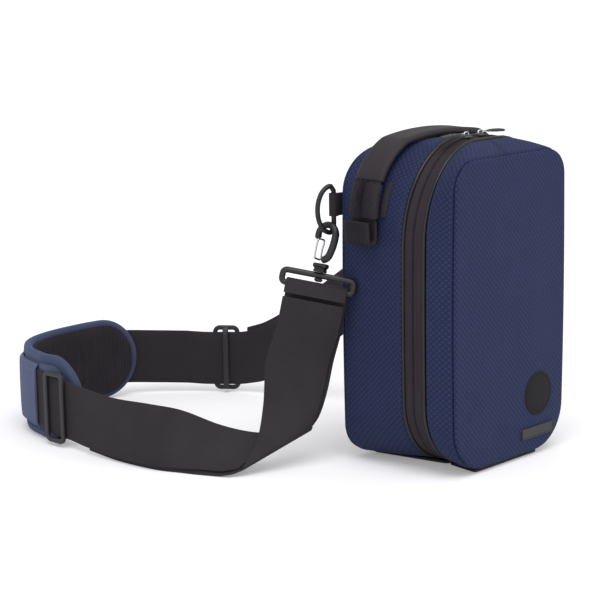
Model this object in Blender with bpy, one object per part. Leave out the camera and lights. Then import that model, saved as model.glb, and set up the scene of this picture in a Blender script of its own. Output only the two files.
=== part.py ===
"""Padded clamshell shoulder bag with a detachable webbing strap."""
import math

import bmesh
import bpy
from mathutils import Matrix, Vector

# ---------------------------------------------------------------- dimensions
# Shell: an upright rounded case, front towards -Y, standing on its base at z = 0.
bag_height = 0.260
half_width = 0.0775
side_bulge = 0.0021
back_y = 0.0698
front_y = -0.0405
zip_y = -0.0053
zip_band_rear = 0.0088
zip_band_front = 0.0088
wall = 0.0035
liner_wall = 0.0012
base_gap = 0.0025
back_drop = 0.0072
front_drop = 0.0118
front_taper = 0.0074
clearance = 0.0003

# Corner radii of the outline: top across X, top along Z, bottom.
zip_corners = (0.0654, 0.0785, 0.0546)
back_corners = (0.0454, 0.0346, 0.0264)
front_corners = (0.0202, 0.0202, 0.0353)

piping_radius = 0.0010
coil_width = 0.0013
tape_thickness = 0.0012

# Carrying handle: 25 mm webbing through two sewn keepers, with folded stops below them.
handle_y = 0.040
handle_width = 0.025
handle_thickness = 0.0022
handle_rise_side = 0.0042
handle_rise_top = 0.0055
keeper_width = handle_width + 0.0025
keeper_low = 0.2015
keeper_high = 0.2270
keeper_wall = 0.0012
stop_travel = 0.0028
stop_height = 0.0175
stop_reach = 0.0085
grip_angle = 62.0
grip_wall = 0.0011

# Strap hardware.
webbing_width = 0.050
webbing_thickness = 0.0016
ring_wire = 0.0020
ring_half_height = 0.0185
ring_depth = 0.0165
ring_low = 0.1860
hook_wire = 0.0028
hook_radius = 0.0085
hook_length = 0.0300
gate_wire = 0.0008
frame_wire = 0.0023
frame_half_length = 0.0290
frame_pitch = 0.0100
frame_corner = 0.0034
adjuster_length = 0.0250
adjuster_height = 0.0610
adjuster_thickness = 0.0030

# Shoulder pad.
pad_thickness = 0.0070
pad_height = 0.0740
pad_mesh_thickness = 0.0012
sleeve_wall = 0.0012
sleeve_height = 0.0600

mm = 0.001


# ---------------------------------------------------------------- scene and helpers
def clear_scene():
    for thing in list(bpy.data.objects):
        bpy.data.objects.remove(thing, do_unlink=True)


clear_scene()
parts = bpy.data.collections.new("shoulder_bag")
bpy.context.scene.collection.children.link(parts)


def material(name, colour, roughness, metallic=0.0):
    finish = bpy.data.materials.new(name)
    finish.use_nodes = True
    shader = finish.node_tree.nodes["Principled BSDF"]
    shader.inputs["Base Color"].default_value = (*colour, 1.0)
    shader.inputs["Roughness"].default_value = roughness
    shader.inputs["Metallic"].default_value = metallic
    return finish


navy_fabric = material("navy_fabric", (0.026, 0.036, 0.085), 0.75)
navy_binding = material("navy_binding", (0.035, 0.052, 0.110), 0.80)
black_webbing = material("black_webbing", (0.024, 0.021, 0.022), 0.85)
black_fabric = material("black_fabric", (0.022, 0.022, 0.024), 0.85)
black_mesh = material("black_mesh", (0.018, 0.016, 0.017), 0.90)
black_metal = material("black_metal", (0.020, 0.020, 0.022), 0.40, 0.3)
black_rubber = material("black_rubber", (0.030, 0.030, 0.036), 0.55)
steel_wire = material("steel_wire", (0.60, 0.60, 0.62), 0.25, 1.0)


def add_mesh(name, bm, finish, sharp=35.0):
    """Put a finished bmesh into the parts collection as one named object."""
    bmesh.ops.recalc_face_normals(bm, faces=bm.faces)
    mesh = bpy.data.meshes.new(name)
    bm.to_mesh(mesh)
    bm.free()
    mesh.materials.append(finish)
    mesh.shade_smooth()
    mesh.set_sharp_from_angle(angle=math.radians(sharp))
    thing = bpy.data.objects.new(name, mesh)
    parts.objects.link(thing)
    return thing


def loft(name, loops, finish, cyclic=False, matrix=None):
    """Join equal loops of points in order; the two ends are capped unless the row is cyclic."""
    bm = bmesh.new()
    rows = [[bm.verts.new(point) for point in loop] for loop in loops]
    pairs = list(zip(rows, rows[1:]))
    if cyclic:
        pairs.append((rows[-1], rows[0]))
    for low, high in pairs:
        for i in range(len(low)):
            j = (i + 1) % len(low)
            bm.faces.new((low[i], low[j], high[j], high[i]))
    if not cyclic:
        bm.faces.new(list(reversed(rows[0])))
        bm.faces.new(rows[-1])
    if matrix is not None:
        bmesh.ops.transform(bm, matrix=matrix, verts=bm.verts)
    return add_mesh(name, bm, finish)


def tube(name, points, radius, finish, cyclic=False, resolution=2):
    """A round bar along a row of points, welded into one closed mesh."""
    curve = bpy.data.curves.new(name, "CURVE")
    curve.dimensions = "3D"
    curve.bevel_depth = radius
    curve.bevel_resolution = resolution
    curve.use_fill_caps = not cyclic
    spline = curve.splines.new("POLY")
    spline.points.add(len(points) - 1)
    for slot, point in zip(spline.points, points):
        slot.co = (*point, 1.0)
    spline.use_cyclic_u = cyclic
    guide = bpy.data.objects.new(name + "_curve", curve)
    parts.objects.link(guide)
    depsgraph = bpy.context.evaluated_depsgraph_get()
    mesh = bpy.data.meshes.new_from_object(guide.evaluated_get(depsgraph))
    bpy.data.objects.remove(guide, do_unlink=True)
    bm = bmesh.new()
    bm.from_mesh(mesh)
    bpy.data.meshes.remove(mesh)
    bmesh.ops.remove_doubles(bm, verts=bm.verts, dist=0.00001)
    return add_mesh(name, bm, finish)


def box(name, low, high, finish, bevel=0.0, matrix=None):
    """A block between two corners, with an optional small round on its edges."""
    bm = bmesh.new()
    bmesh.ops.create_cube(bm, size=1.0)
    centre = (Vector(low) + Vector(high)) / 2
    size = Vector(high) - Vector(low)
    placing = Matrix.Translation(centre) @ Matrix.Diagonal((*size, 1.0))
    bmesh.ops.transform(bm, matrix=placing, verts=bm.verts)
    if bevel > 0:
        bmesh.ops.bevel(bm, geom=bm.edges[:], offset=bevel, segments=1, affect="EDGES")
    if matrix is not None:
        bmesh.ops.transform(bm, matrix=matrix, verts=bm.verts)
    return add_mesh(name, bm, finish)


def cylinder(name, radius, low, high, finish, matrix, sides=20):
    """A round pin along local Z between two heights."""
    bm = bmesh.new()
    bmesh.ops.create_cone(bm, cap_ends=True, segments=sides, radius1=radius, radius2=radius,
                          depth=high - low)
    bmesh.ops.translate(bm, verts=bm.verts, vec=(0, 0, (low + high) / 2))
    bmesh.ops.transform(bm, matrix=matrix, verts=bm.verts)
    return add_mesh(name, bm, finish)


def smooth_row(points, steps):
    """Points read from a smooth Catmull-Rom curve through a row of vectors."""
    ends = [2 * points[0] - points[1]] + list(points) + [2 * points[-1] - points[-2]]
    row = []
    for a, b, c, d in zip(ends, ends[1:], ends[2:], ends[3:]):
        for step in range(steps):
            t = step / steps
            row.append(0.5 * (2 * b + (c - a) * t + (2 * a - 5 * b + 4 * c - d) * t * t
                              + (3 * b - a - 3 * c + d) * t * t * t))
    row.append(points[-1].copy())
    return row


# ---------------------------------------------------------------- the shell's outline
def mix(a, b, k):
    return a + (b - a) * k


def outline(y, inset=0.0, steps=7):
    """Rounded upright outline of the case at depth y, drawn in by inset, as (x, z) pairs."""
    rear_edge = zip_y + zip_band_rear
    front_edge = zip_y - zip_band_front
    half, top, corners = half_width, bag_height, zip_corners
    if y > rear_edge:
        k = (y - rear_edge) / (back_y - rear_edge)
        top = bag_height - back_drop * k
        corners = [mix(a, b, k) for a, b in zip(zip_corners, back_corners)]
    elif y < front_edge:
        k = (front_edge - y) / (front_edge - front_y)
        half = half_width - front_taper * k
        top = bag_height - front_drop * k
        corners = [mix(a, b, k) for a, b in zip(zip_corners, front_corners)]
    across, along, low = [max(r - inset, 0.003) for r in corners]
    half -= inset
    top -= inset
    bottom = base_gap + inset
    quarter = [math.pi / 2 * i / steps for i in range(steps + 1)]
    right = [(half - low + low * math.sin(t), bottom + low - low * math.cos(t)) for t in quarter]
    middle = (bottom + low + top - along) / 2
    right.append((half, middle))
    right += [(half - across + across * math.cos(t), top - along + along * math.sin(t))
              for t in quarter]
    bulged = []
    for x, z in right:
        swell = side_bulge * math.sin(math.pi * min(max(z / bag_height, 0), 1))
        bulged.append((x + swell * min(x / half, 1), z))
    return bulged + [(-x, z) for x, z in reversed(bulged)]


def ring_at(y, inset=0.0):
    return [Vector((x, y, z)) for x, z in outline(y, inset)]


def shell_tube(name, depths, thickness, finish, inset=0.0):
    outer = [ring_at(y, inset) for y in depths]
    inner = [ring_at(y, inset + thickness) for y in reversed(depths)]
    return loft(name, outer + inner, finish, cyclic=True)


def lining_cup(name, depths, side):
    """Thin lining tray inside a shell; its floor lies at the last depth, on the given side."""
    seat = wall + 2 * clearance
    inner = [depths[-1] - side * liner_wall] + list(reversed(depths[:-1]))
    loops = [ring_at(y, seat + liner_wall) for y in inner] + [ring_at(y, seat) for y in depths]
    loft(name, loops, black_fabric)


def between(a, b, count):
    return [a + (b - a) * i / (count - 1) for i in range(count)]


# ---------------------------------------------------------------- rear shell
tape_rear_y = zip_y + zip_band_rear
tape_front_y = zip_y - zip_band_front
piping_room = 2 * piping_radius + 2 * clearance
gusset_rear_y = tape_rear_y + piping_room
gusset_front_y = tape_front_y - piping_room
back_seam_y = back_y - 0.0040
front_seam_y = front_y + 0.0028


def make_rear_shell():
    depths = between(gusset_rear_y, back_seam_y, 5)
    shell_tube("rear_gusset", depths, wall, navy_fabric)
    seam = back_seam_y + clearance
    loft("back_panel", [ring_at(seam), ring_at(mix(seam, back_y, 0.6), 0.0008),
                        ring_at(back_y, 0.0035)], navy_fabric)
    lining_cup("rear_lining", depths[:-1] + [back_seam_y - clearance], 1)


# ---------------------------------------------------------------- lid
def make_lid():
    depths = between(gusset_front_y, front_seam_y, 4)
    shell_tube("lid_gusset", depths, wall, navy_fabric)
    seam = front_seam_y - clearance
    loft("front_panel", [ring_at(seam, 0.0010), ring_at(mix(seam, front_y, 0.5), 0.0012),
                         ring_at(front_y, 0.0028)], navy_fabric)
    lining_cup("lid_lining", depths[:-1] + [front_seam_y + clearance], -1)


# ---------------------------------------------------------------- zip
tape_inset = 0.0010


def closure_path(inset):
    """The zip's line: the outline without its flat bottom, with outward normals."""
    loop = outline(zip_y, inset)
    count = len(loop)
    rows = []
    for i in range(1, count - 1):
        before = Vector((loop[i - 1][0], 0, loop[i - 1][1]))
        after = Vector((loop[i + 1][0], 0, loop[i + 1][1]))
        run = (after - before).normalized()
        rows.append((Vector((loop[i][0], 0, loop[i][1])), Vector((run.z, 0, -run.x))))
    return rows


def coil(name, near, far):
    """Half of the zip's teeth: a low ridge beside the closing line."""
    loops = []
    for point, out in closure_path(tape_inset):
        low, high = point - out * 0.0008, point + out * 0.0009
        loops.append([low + Vector((0, near, 0)), low + Vector((0, far, 0)),
                      high + Vector((0, far, 0)), high + Vector((0, near, 0))])
    loft(name, loops, black_metal)


def make_zip():
    gap = clearance / 2
    shell_tube("zip_tape_rear", [zip_y + gap + coil_width + clearance, tape_rear_y],
               tape_thickness, black_fabric, tape_inset)
    shell_tube("zip_tape_front", [tape_front_y, zip_y - gap - coil_width - clearance],
               tape_thickness, black_fabric, tape_inset)
    coil("zip_coil_rear", zip_y + gap, zip_y + gap + coil_width)
    coil("zip_coil_front", zip_y - gap, zip_y - gap - coil_width)
    for name, y in (("rear_piping", tape_rear_y + piping_room / 2),
                    ("front_piping", tape_front_y - piping_room / 2)):
        tube(name, ring_at(y, piping_radius * 0.9), piping_radius, black_rubber, cyclic=True)
    inner = base_gap + tape_inset + tape_thickness + 2 * clearance
    box("hinge_tape", (-0.020, zip_y + clearance, inner), (0.020, gusset_rear_y - clearance,
        inner + 0.0010), black_fabric)


slider_offset_left = -0.0145
slider_offset_right = 0.0040
slider_length = 0.0085
pull_length = 0.0240
pull_width = 0.0060
pull_gap = 0.0034


def make_slider(side, x, pull_side):
    """One zip slider on the top run with its tab lying along the zip."""
    top = bag_height - tape_inset + 0.0009 + 0.0004
    half = slider_length / 2
    box("zip_slider_" + side, (x - half, zip_y - 0.0042, top), (x + half, zip_y + 0.0042,
        top + 0.0016), steel_wire, bevel=0.0005)
    pin_x = x + pull_side * 0.0020
    lift = top + 0.0016 + clearance
    bridge = [Vector((x - pull_side * 0.0030, zip_y, lift)), Vector((x - pull_side * 0.0030,
              zip_y, lift + 0.0022))]
    bridge += [Vector((pin_x, zip_y, lift + 0.0022)), Vector((pin_x, zip_y, lift))]
    tube("zip_bridge_" + side, bridge, 0.0006, steel_wire)
    near = pin_x + pull_side * pull_gap
    far = near + pull_side * pull_length
    box("zip_pull_" + side, (min(near, far), zip_y - pull_width / 2, lift + 0.0001),
        (max(near, far), zip_y + pull_width / 2, lift + 0.0017), black_rubber, bevel=0.0004)


# ---------------------------------------------------------------- base
def plan_plate(name, corners, low, high, finish, round_off=0.004):
    """A flat plate from a plan outline with clipped corners."""
    points = []
    count = len(corners)
    for i in range(count):
        here = Vector(corners[i])
        for other in (Vector(corners[i - 1]), Vector(corners[(i + 1) % count])):
            points.append(here + (other - here).normalized() * round_off)
    loft(name, [[Vector((p.x, p.y, z)) for p in points] for z in (low, high)], finish)


base_thickness = base_gap - clearance


def make_base():
    joint_gap = 0.0007
    plan_plate("rear_base_panel", [(-0.036, zip_y + joint_gap), (0.036, zip_y + joint_gap),
               (0.048, back_y - 0.006), (-0.048, back_y - 0.006)], 0, base_thickness, black_fabric)
    plan_plate("lid_base_panel", [(-0.041, front_y + 0.004), (0.041, front_y + 0.004),
               (0.036, zip_y - joint_gap), (-0.036, zip_y - joint_gap)], 0, base_thickness,
               black_fabric)


# ---------------------------------------------------------------- badge and label
badge_centre = (0.0340, 0.0514)
badge_radius = 0.0180
badge_thickness = 0.0012
label_centre = (0.0345, 0.0200)
label_size = (0.0430, 0.0092)
label_thickness = 0.0016


def make_badges():
    face = front_y - clearance
    turn = Matrix.Translation((badge_centre[0], face, badge_centre[1])) @ Matrix.Rotation(
        math.radians(90), 4, "X")
    cylinder("badge", badge_radius, 0, badge_thickness, black_fabric, turn, sides=40)
    x, z = label_centre
    w, h = label_size[0] / 2, label_size[1] / 2
    box("label", (x - w, face - label_thickness, z - h), (x + w, face, z + h), black_rubber,
        bevel=0.0004)


# ---------------------------------------------------------------- handle
def handle_point(angle, offset=0.0):
    """Handle centreline over the shell; angle 0 is the middle of the top, 90 the side."""
    k = (handle_y - gusset_rear_y) / (back_y - gusset_rear_y)
    across = mix(zip_corners[0], back_corners[0], k)
    along = mix(zip_corners[1], back_corners[1], k)
    top = bag_height - back_drop * k
    half = half_width + side_bulge
    t = math.radians(angle)
    x = (half - across) * min(abs(angle) / 20, 1) * math.copysign(1, angle)
    x += (across + handle_rise_side + offset) * math.sin(t)
    z = top - along + (along + handle_rise_top + offset) * math.cos(t)
    return Vector((x, handle_y, z))


def handle_side():
    return handle_point(90).x


def handle_row(low, high, count):
    return [handle_point(low + (high - low) * i / (count - 1)) for i in range(count)]


def band_loops(row, width, thickness):
    """Cross sections of a flat band whose width runs along Y."""
    loops = []
    for i, point in enumerate(row):
        before = row[max(i - 1, 0)]
        after = row[min(i + 1, len(row) - 1)]
        run = (after - before).normalized()
        out = Vector((run.z, 0, -run.x))
        half = Vector((0, width / 2, 0))
        deep = out * thickness / 2
        loops.append([point - half - deep, point + half - deep, point + half + deep,
                      point - half + deep])
    return loops


def sleeve(name, row, width, thickness, shell, finish):
    """A hollow flat sleeve: outer sections one way, inner sections back."""
    outer = band_loops(row, width + 2 * shell, thickness + 2 * shell)
    inner = band_loops(row, width, thickness)
    return loft(name, outer + list(reversed(inner)), finish, cyclic=True)


def leg_row(side, low, high, count):
    x = side * handle_side()
    return [Vector((x, handle_y, low + (high - low) * i / (count - 1))) for i in range(count)]


def make_handle():
    arc_start_z = handle_point(90).z
    stop_top = keeper_low - stop_travel
    legs = [leg_row(-1, stop_top + clearance, arc_start_z - 0.0005, 3),
            leg_row(1, arc_start_z - 0.0005, stop_top + clearance, 3)]
    row = legs[0] + handle_row(-90, 90, 37) + legs[1]
    loft("handle_webbing", band_loops(row, handle_width, handle_thickness), black_webbing)
    sleeve("handle_grip", handle_row(-grip_angle, grip_angle, 25), handle_width + 0.0006,
           handle_thickness + 0.0006, grip_wall, black_rubber)
    for side, name in ((-1, "left"), (1, "right")):
        x = side * handle_side()
        fold = [Vector((x, handle_y, stop_top)), Vector((x, handle_y, stop_top - stop_height + 0.004))]
        for i in range(1, 6):
            t = math.pi * i / 6
            fold.append(Vector((x + side * stop_reach / 2 * (1 - math.cos(t)), handle_y,
                                stop_top - stop_height + 0.004 - 0.004 * math.sin(t))))
        fold.append(Vector((x + side * stop_reach, handle_y, stop_top - stop_height + 0.004)))
        fold.append(Vector((x + side * stop_reach, handle_y, stop_top)))
        loft("handle_stop_" + name, band_loops(fold, handle_width + 0.001, handle_thickness + 0.0006),
             black_webbing)
        make_keeper(name, side)


def handle_at(side, z):
    """Handle centreline at a height: straight below the arch, on the arch above."""
    low, high = handle_point(90).z, handle_point(0).z
    if z <= low:
        return Vector((side * handle_side(), handle_y, z))
    return handle_point(side * math.degrees(math.acos((z - low) / (high - low))))


def make_keeper(name, side):
    """Sewn webbing sleeve that the handle's leg slides through."""
    row = [handle_at(side, z) + Vector((side * 0.0003, 0, 0))
           for z in between(keeper_low, keeper_high, 8)]
    sleeve("handle_keeper_" + name, row, keeper_width - 2 * keeper_wall + 0.0012,
           handle_thickness + 0.0022, keeper_wall, black_webbing)


# ---------------------------------------------------------------- rings and their tabs
ring_x = half_width + side_bulge + 0.0015
ring_y = back_y + 0.0045
ring_straight = 0.0030
ring_swing = {-1: 172.0, 1: 75.0}


def ring_centre(side):
    return Vector((side * ring_x, ring_y, ring_low + ring_half_height))


def ring_out(side):
    heading = math.radians(ring_swing[side])
    return Vector((math.cos(heading), math.sin(heading), 0))


def ring_bow(side, angle):
    """Point of the bow's centreline, angle 90 at the top and -90 at the bottom."""
    t = math.radians(angle)
    reach = ring_straight + (ring_depth - ring_straight) * math.cos(t)
    return ring_centre(side) + ring_out(side) * reach + Vector((0, 0, ring_half_height * math.sin(t)))


def make_ring(name, side):
    """A D-shaped loop: straight upright bar on the pivot and a bow on the heading side."""
    bar = ring_half_height - 0.004
    points = [ring_centre(side) + Vector((0, 0, z)) for z in (-bar, 0, bar)]
    points += [ring_bow(side, 90 - 15 * i) for i in range(13)]
    tube("ring_" + name, points, ring_wire, black_metal, cyclic=True)


def make_tab(name, side):
    """Webbing tab sewn into the back edge, wrapped round the ring's bar."""
    hole = ring_wire + 0.0004
    skin = 0.0014
    low, high = ring_low + 0.013, ring_low + 2 * ring_half_height - 0.006
    root = Vector((side * (half_width - 0.014), back_y + clearance + skin / 2, 0))
    pivot = Vector((side * ring_x, ring_y, 0))
    count = 20
    ahead = (root - pivot).normalized()
    across = Vector((-ahead.y, ahead.x, 0))
    spokes = [ahead * math.cos(2 * math.pi * i / count) + across * math.sin(2 * math.pi * i / count)
              for i in range(count)]
    inner = [pivot + spoke * hole for spoke in spokes]
    outer = [pivot + spoke * (hole + skin) for spoke in spokes]
    outer[0] = root
    loops = [[p + Vector((0, 0, z)) for p in row]
             for row, z in ((outer, low), (outer, high), (inner, high), (inner, low))]
    loft("ring_tab_" + name, loops, black_webbing, cyclic=True)


# ---------------------------------------------------------------- snap hooks
hook_on_bow = {-1: -75.0, 1: -57.0}
hook_slack = {-1: 12.0, 1: -10.0}
crown = ring_wire + hook_wire + 0.0010
base_top = crown - hook_radius - hook_length * 0.62
collar_low = base_top - 0.0110
bar_z = collar_low - frame_wire - clearance
pin_head = 0.0035


def axes_at(origin, x, y, z):
    matrix = Matrix((x, y, z)).transposed().to_4x4()
    matrix.translation = origin
    return matrix


def hook_place(side, up, across):
    """Local frame at the ring's wire: Z up the hook, X along the strap frame's bars."""
    z = Vector(up).normalized()
    x = Vector(across)
    x = (x - z * x.dot(z)).normalized()
    return axes_at(ring_bow(side, hook_on_bow[side]), x, z.cross(x), z)


def hook_spin(side, place):
    """The hook's own plane, turned on the swivel until the ring's wire passes through it."""
    z = place.col[2].to_3d()
    spot = hook_on_bow[side]
    wire = ring_bow(side, spot + 1) - ring_bow(side, spot - 1)
    y = (wire - z * wire.dot(z)).normalized()
    y = Matrix.Rotation(math.radians(hook_slack[side]), 3, z) @ y
    if y.dot(place.col[1].to_3d()) < 0:
        y = -y
    return axes_at(place.translation, y.cross(z), y, z)


hook_places = {-1: hook_place(-1, (0.290, -0.010, 0.957), (0.494, -0.833, -0.250)),
               1: hook_place(1, (0.120, -0.660, 0.740), (-0.150, 0.450, 0.880))}


def hook_points():
    centre = crown - hook_radius
    points = [Vector((0.0005, 0, base_top - 0.0015)),
              Vector((hook_radius * 0.62, 0, base_top + 0.002)),
              Vector((hook_radius * 0.92, 0, mix(base_top, centre, 0.55)))]
    for i in range(11):
        t = math.radians(i * 205 / 10)
        points.append(Vector((hook_radius * math.cos(t), 0, centre + hook_radius * math.sin(t))))
    return points


def frame_loop():
    """Rounded slot shape of the strap frame, in its own X-Z plane below the swivel."""
    points = []
    for sx, sz, start in ((1, 1, 90), (1, -1, 0), (-1, -1, -90), (-1, 1, -180)):
        centre = Vector((sx * (frame_half_length - frame_corner), 0, bar_z - frame_pitch / 2
                         + sz * (frame_pitch / 2 - frame_corner)))
        for i in range(4):
            t = math.radians(start - 30 * i)
            points.append(centre + frame_corner * Vector((math.cos(t), 0, math.sin(t))))
    return points


def make_hook(name, side):
    place = hook_places[side]
    spin = hook_spin(side, place)
    tube("hook_" + name, [spin @ p for p in smooth_row(hook_points(), 2)], hook_wire, black_metal)
    block_top = base_top - 0.0015 - hook_wire - clearance
    block_low = collar_low + 0.0034
    box("hook_base_" + name, (-0.0062, -0.0030, block_low), (0.0062, 0.0030, block_top),
        black_metal, bevel=0.0008, matrix=spin)
    cylinder("hook_collar_" + name, 0.0056, collar_low, block_low - clearance, black_metal, spin)
    gate_low = Vector((-0.0050, 0, base_top - 0.0004))
    gate_high = Vector((gate_wire + hook_wire - hook_radius + 0.0004, 0, crown - hook_radius - 0.0045))
    reach = Vector((0, hook_wire + gate_wire + 0.0004, 0))
    gate = [gate_low - reach, gate_high - reach, gate_high + reach, gate_low + reach]
    tube("gate_" + name, [spin @ p for p in gate], gate_wire, steel_wire, cyclic=True)
    tube("strap_frame_" + name, [place @ p for p in frame_loop()], frame_wire, black_metal,
         cyclic=True)
    low = bar_z - frame_wire
    cylinder("swivel_pin_" + name, pin_head, low - 0.0026, low - clearance, black_metal, place)


# ---------------------------------------------------------------- strap
layer_gap = 0.0026
head_drop = 0.0080
bar_radius = frame_wire + 0.0004 + webbing_thickness / 2


def spread(x):
    """A wider case pushes the strap's two sides apart; the run inside the pad takes it up."""
    return Vector(((half_width - 0.0775) * min(max((x + 70) / 40, -1), 1), 0, 0))


def pair(left, right):
    shift = spread((left[0] + right[0]) / 2)
    return Vector(left) * mm + shift, Vector(right) * mm + shift


def upright(x, y, middle):
    half = webbing_width / 2
    spot = Vector((x * mm, y * mm, middle * mm)) + spread(x)
    return spot - Vector((0, 0, half)), spot + Vector((0, 0, half))


# Hand-chosen stations of the webbing's two edges: down from the left hook, over in a slanting
# roll on the floor, and away on edge.
near_stations = [
    pair((-118, 101, 112), (-89, 61, 106)),
    pair((-125, 105, 84), (-91, 67, 84)),
    pair((-130, 104, 50), (-96, 69, 62)),
    pair((-142, 100, 25), (-101, 71, 46)),
    pair((-159, 97, 11), (-105, 74, 36)),
    pair((-170, 99, 7), (-108, 80, 31)),
    pair((-176, 105, 5), (-117, 94, 27)),
    pair((-179, 112, 4), (-134, 112, 26)),
    pair((-184, 123, 4), (-152, 134, 32)),
    pair((-191, 140, 3), (-174, 156, 45)),
    pair((-201, 166, 3), (-198, 169, 53)),
    upright(-204, 205, 28),
    upright(-204, 240, 30),
    upright(-203, 262, 32),
]
# Through the near adjuster and the pad's sleeve: plan X, plan Y and height of the middle.
middle_stations = [upright(*row) for row in (
    (-203, 262.3, 32), (-203, 285, 33), (-199, 310, 36), (-190, 338, 37), (-171, 361, 37),
    (-144, 373, 37), (-112, 377, 37), (-80, 376, 37), (-52, 368, 36), (-27, 352, 34),
    (-6, 331, 33))]
# On edge through the far adjuster and up behind the case to the right hook.
far_stations = [upright(-5.8, 330.8, 33), upright(5, 317, 32), upright(17, 302, 32),
                upright(28, 286, 33), pair((37, 260, 16), (36, 266, 66)),
                pair((48, 220, 40), (45, 231, 89)), pair((62, 178, 74), (58, 194, 121))]
near_slide = (Vector((-203, 279, 33)) * mm + spread(-203), Vector((0, 1, 0)))
far_slide = (Vector((17, 302, 32)) * mm + spread(17), Vector((0.60, -0.80, 0)))


def ribbon(name, stations, steps, finish, thickness=webbing_thickness, offsets=None):
    """Webbing as a ruled band between two smooth edges; offsets shift it off the stations."""
    left = smooth_row([s[0] for s in stations], steps)
    right = smooth_row([s[1] for s in stations], steps)
    loops = []
    for i, (a, b) in enumerate(zip(left, right)):
        before, after = max(i - 1, 0), min(i + 1, len(left) - 1)
        run = (left[after] + right[after]) - (left[before] + right[before])
        out = (b - a).cross(run).normalized()
        shift = 0.0
        if offsets:
            spot = min(i / steps, len(offsets) - 1)
            base = min(int(spot), len(offsets) - 2)
            shift = mix(offsets[base], offsets[base + 1], spot - base)
        inner, outer = out * (shift - thickness / 2), out * (shift + thickness / 2)
        loops.append([a + inner, b + inner, b + outer, a + outer])
    return loft(name, loops, finish)


def strap_head(side):
    """Stations up the free layer, round the frame's lower bar and down the main layer."""
    bar = bar_z - frame_pitch
    half = webbing_width / 2
    rows = [(-bar_radius, bar - head_drop)]
    rows += [(-bar_radius * math.cos(math.pi * i / 6), bar + bar_radius * math.sin(math.pi * i / 6))
             for i in range(7)]
    rows.append((bar_radius, bar - head_drop))
    place = hook_places[side]
    return [(place @ Vector((-half, -side * y, z)), place @ Vector((half, -side * y, z)))
            for y, z in rows]


def make_layers(name, side, route, ends):
    """Main webbing from the frame along its route, and the layer sewn back on itself."""
    head = strap_head(side)
    rows = head + route
    if side > 0:
        rows.reverse()
    ribbon("strap_" + name, rows, 3, black_webbing)
    drop = hook_places[side].col[2].to_3d() * 6 * clearance
    start = (head[-1][0] - drop, head[-1][1] - drop)
    spread = [-2 * bar_radius, -0.0050, -layer_gap, -layer_gap]
    ribbon("strap_" + name + "_return", [start] + route[:ends], 3, black_webbing, offsets=spread)


def make_strap():
    make_layers("near", -1, near_stations, -1)
    make_layers("far", 1, list(reversed(far_stations)), 4)
    ribbon("strap_middle", middle_stations, 4, black_webbing)


def join(name, pieces, finish):
    """One solid from several, by exact union."""
    first, rest = pieces[0], pieces[1:]
    for other in rest:
        union = first.modifiers.new("union", "BOOLEAN")
        union.operation = "UNION"
        union.solver = "EXACT"
        union.object = other
    depsgraph = bpy.context.evaluated_depsgraph_get()
    mesh = bpy.data.meshes.new_from_object(first.evaluated_get(depsgraph))
    for piece in pieces:
        bpy.data.objects.remove(piece, do_unlink=True)
    bm = bmesh.new()
    bm.from_mesh(mesh)
    bpy.data.meshes.remove(mesh)
    bmesh.ops.dissolve_degenerate(bm, dist=0.00001, edges=bm.edges[:])
    return add_mesh(name, bm, finish)


def make_adjuster(name, spot, run):
    """Three-bar slide: a window frame outside the webbing and its middle bar inside it."""
    up = Vector((0, 0, 1))
    run = run.normalized()
    place = axes_at(spot, run, up.cross(run), up)
    half_x, half_z = adjuster_length / 2, adjuster_height / 2
    near = webbing_thickness / 2 + 0.0006
    far = near + adjuster_thickness
    rim = 0.0042
    outer = [(-half_x, -half_z), (half_x, -half_z), (half_x, half_z), (-half_x, half_z)]
    inner = [(math.copysign(half_x - rim, x), math.copysign(half_z - rim, z)) for x, z in outer]
    loops = [[Vector((x, y, z)) for x, z in row]
             for row, y in ((outer, near), (outer, far), (inner, far), (inner, near))]
    window = loft(name + "_window", loops, black_metal, cyclic=True, matrix=place)
    bar = 0.0026
    slot = half_z - rim
    arch = [(near + 0.001, half_z - 0.0005), (-near - adjuster_thickness, half_z - 0.0005),
            (-near - adjuster_thickness, -half_z + 0.0005), (near + 0.001, -half_z + 0.0005),
            (near + 0.001, -slot), (-near, -slot), (-near, slot), (near + 0.001, slot)]
    middle = loft(name + "_bar", [[Vector((x, y, z)) for y, z in arch] for x in (-bar, bar)],
                  black_metal, matrix=place)
    join(name, [window, middle], black_metal)


# ---------------------------------------------------------------- shoulder pad
pad_start = 0.006
pad_end_trim = 0.048
core_gap = webbing_thickness / 2 + 0.0005


def plan_walk():
    """Dense points of the pad's plan line with their distances along it."""
    line = [Vector(((a.x + b.x) / 2, (a.y + b.y) / 2, 0)) for a, b in middle_stations]
    line[0].y -= pad_start
    row = smooth_row(line, 12)
    run = [0.0]
    for a, b in zip(row, row[1:]):
        run.append(run[-1] + (b - a).length)
    return row, run


pad_row, pad_run = plan_walk()
pad_length = pad_run[-1] - pad_end_trim


def tip_flare(distance):
    """How far the pad's near tip stands off the webbing, to clear the adjuster's bar."""
    k = min(max((distance - 0.030) / 0.020, 0), 1)
    return -0.0040 * (1 - k * k * (3 - 2 * k))


def pad_point(distance, off, z):
    """Point on the pad: distance from the near tip, off the webbing line, and height."""
    off += tip_flare(distance)
    i = 0
    while i < len(pad_run) - 2 and pad_run[i + 1] < distance:
        i += 1
    k = (distance - pad_run[i]) / (pad_run[i + 1] - pad_run[i])
    spot = pad_row[i].lerp(pad_row[i + 1], k)
    ahead = pad_row[min(i + 2, len(pad_row) - 1)] - pad_row[max(i - 1, 0)]
    out = Vector((-ahead.y, ahead.x, 0)).normalized()
    return spot + out * off + Vector((0, 0, z))


def tip_round(distance, half, length):
    """Half height of a pad layer with rounded tips, at a distance along it."""
    near = min(distance, length - distance)
    return half * math.sqrt(max(1 - max(1 - near / half, 0) ** 2, 0.0))


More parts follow.
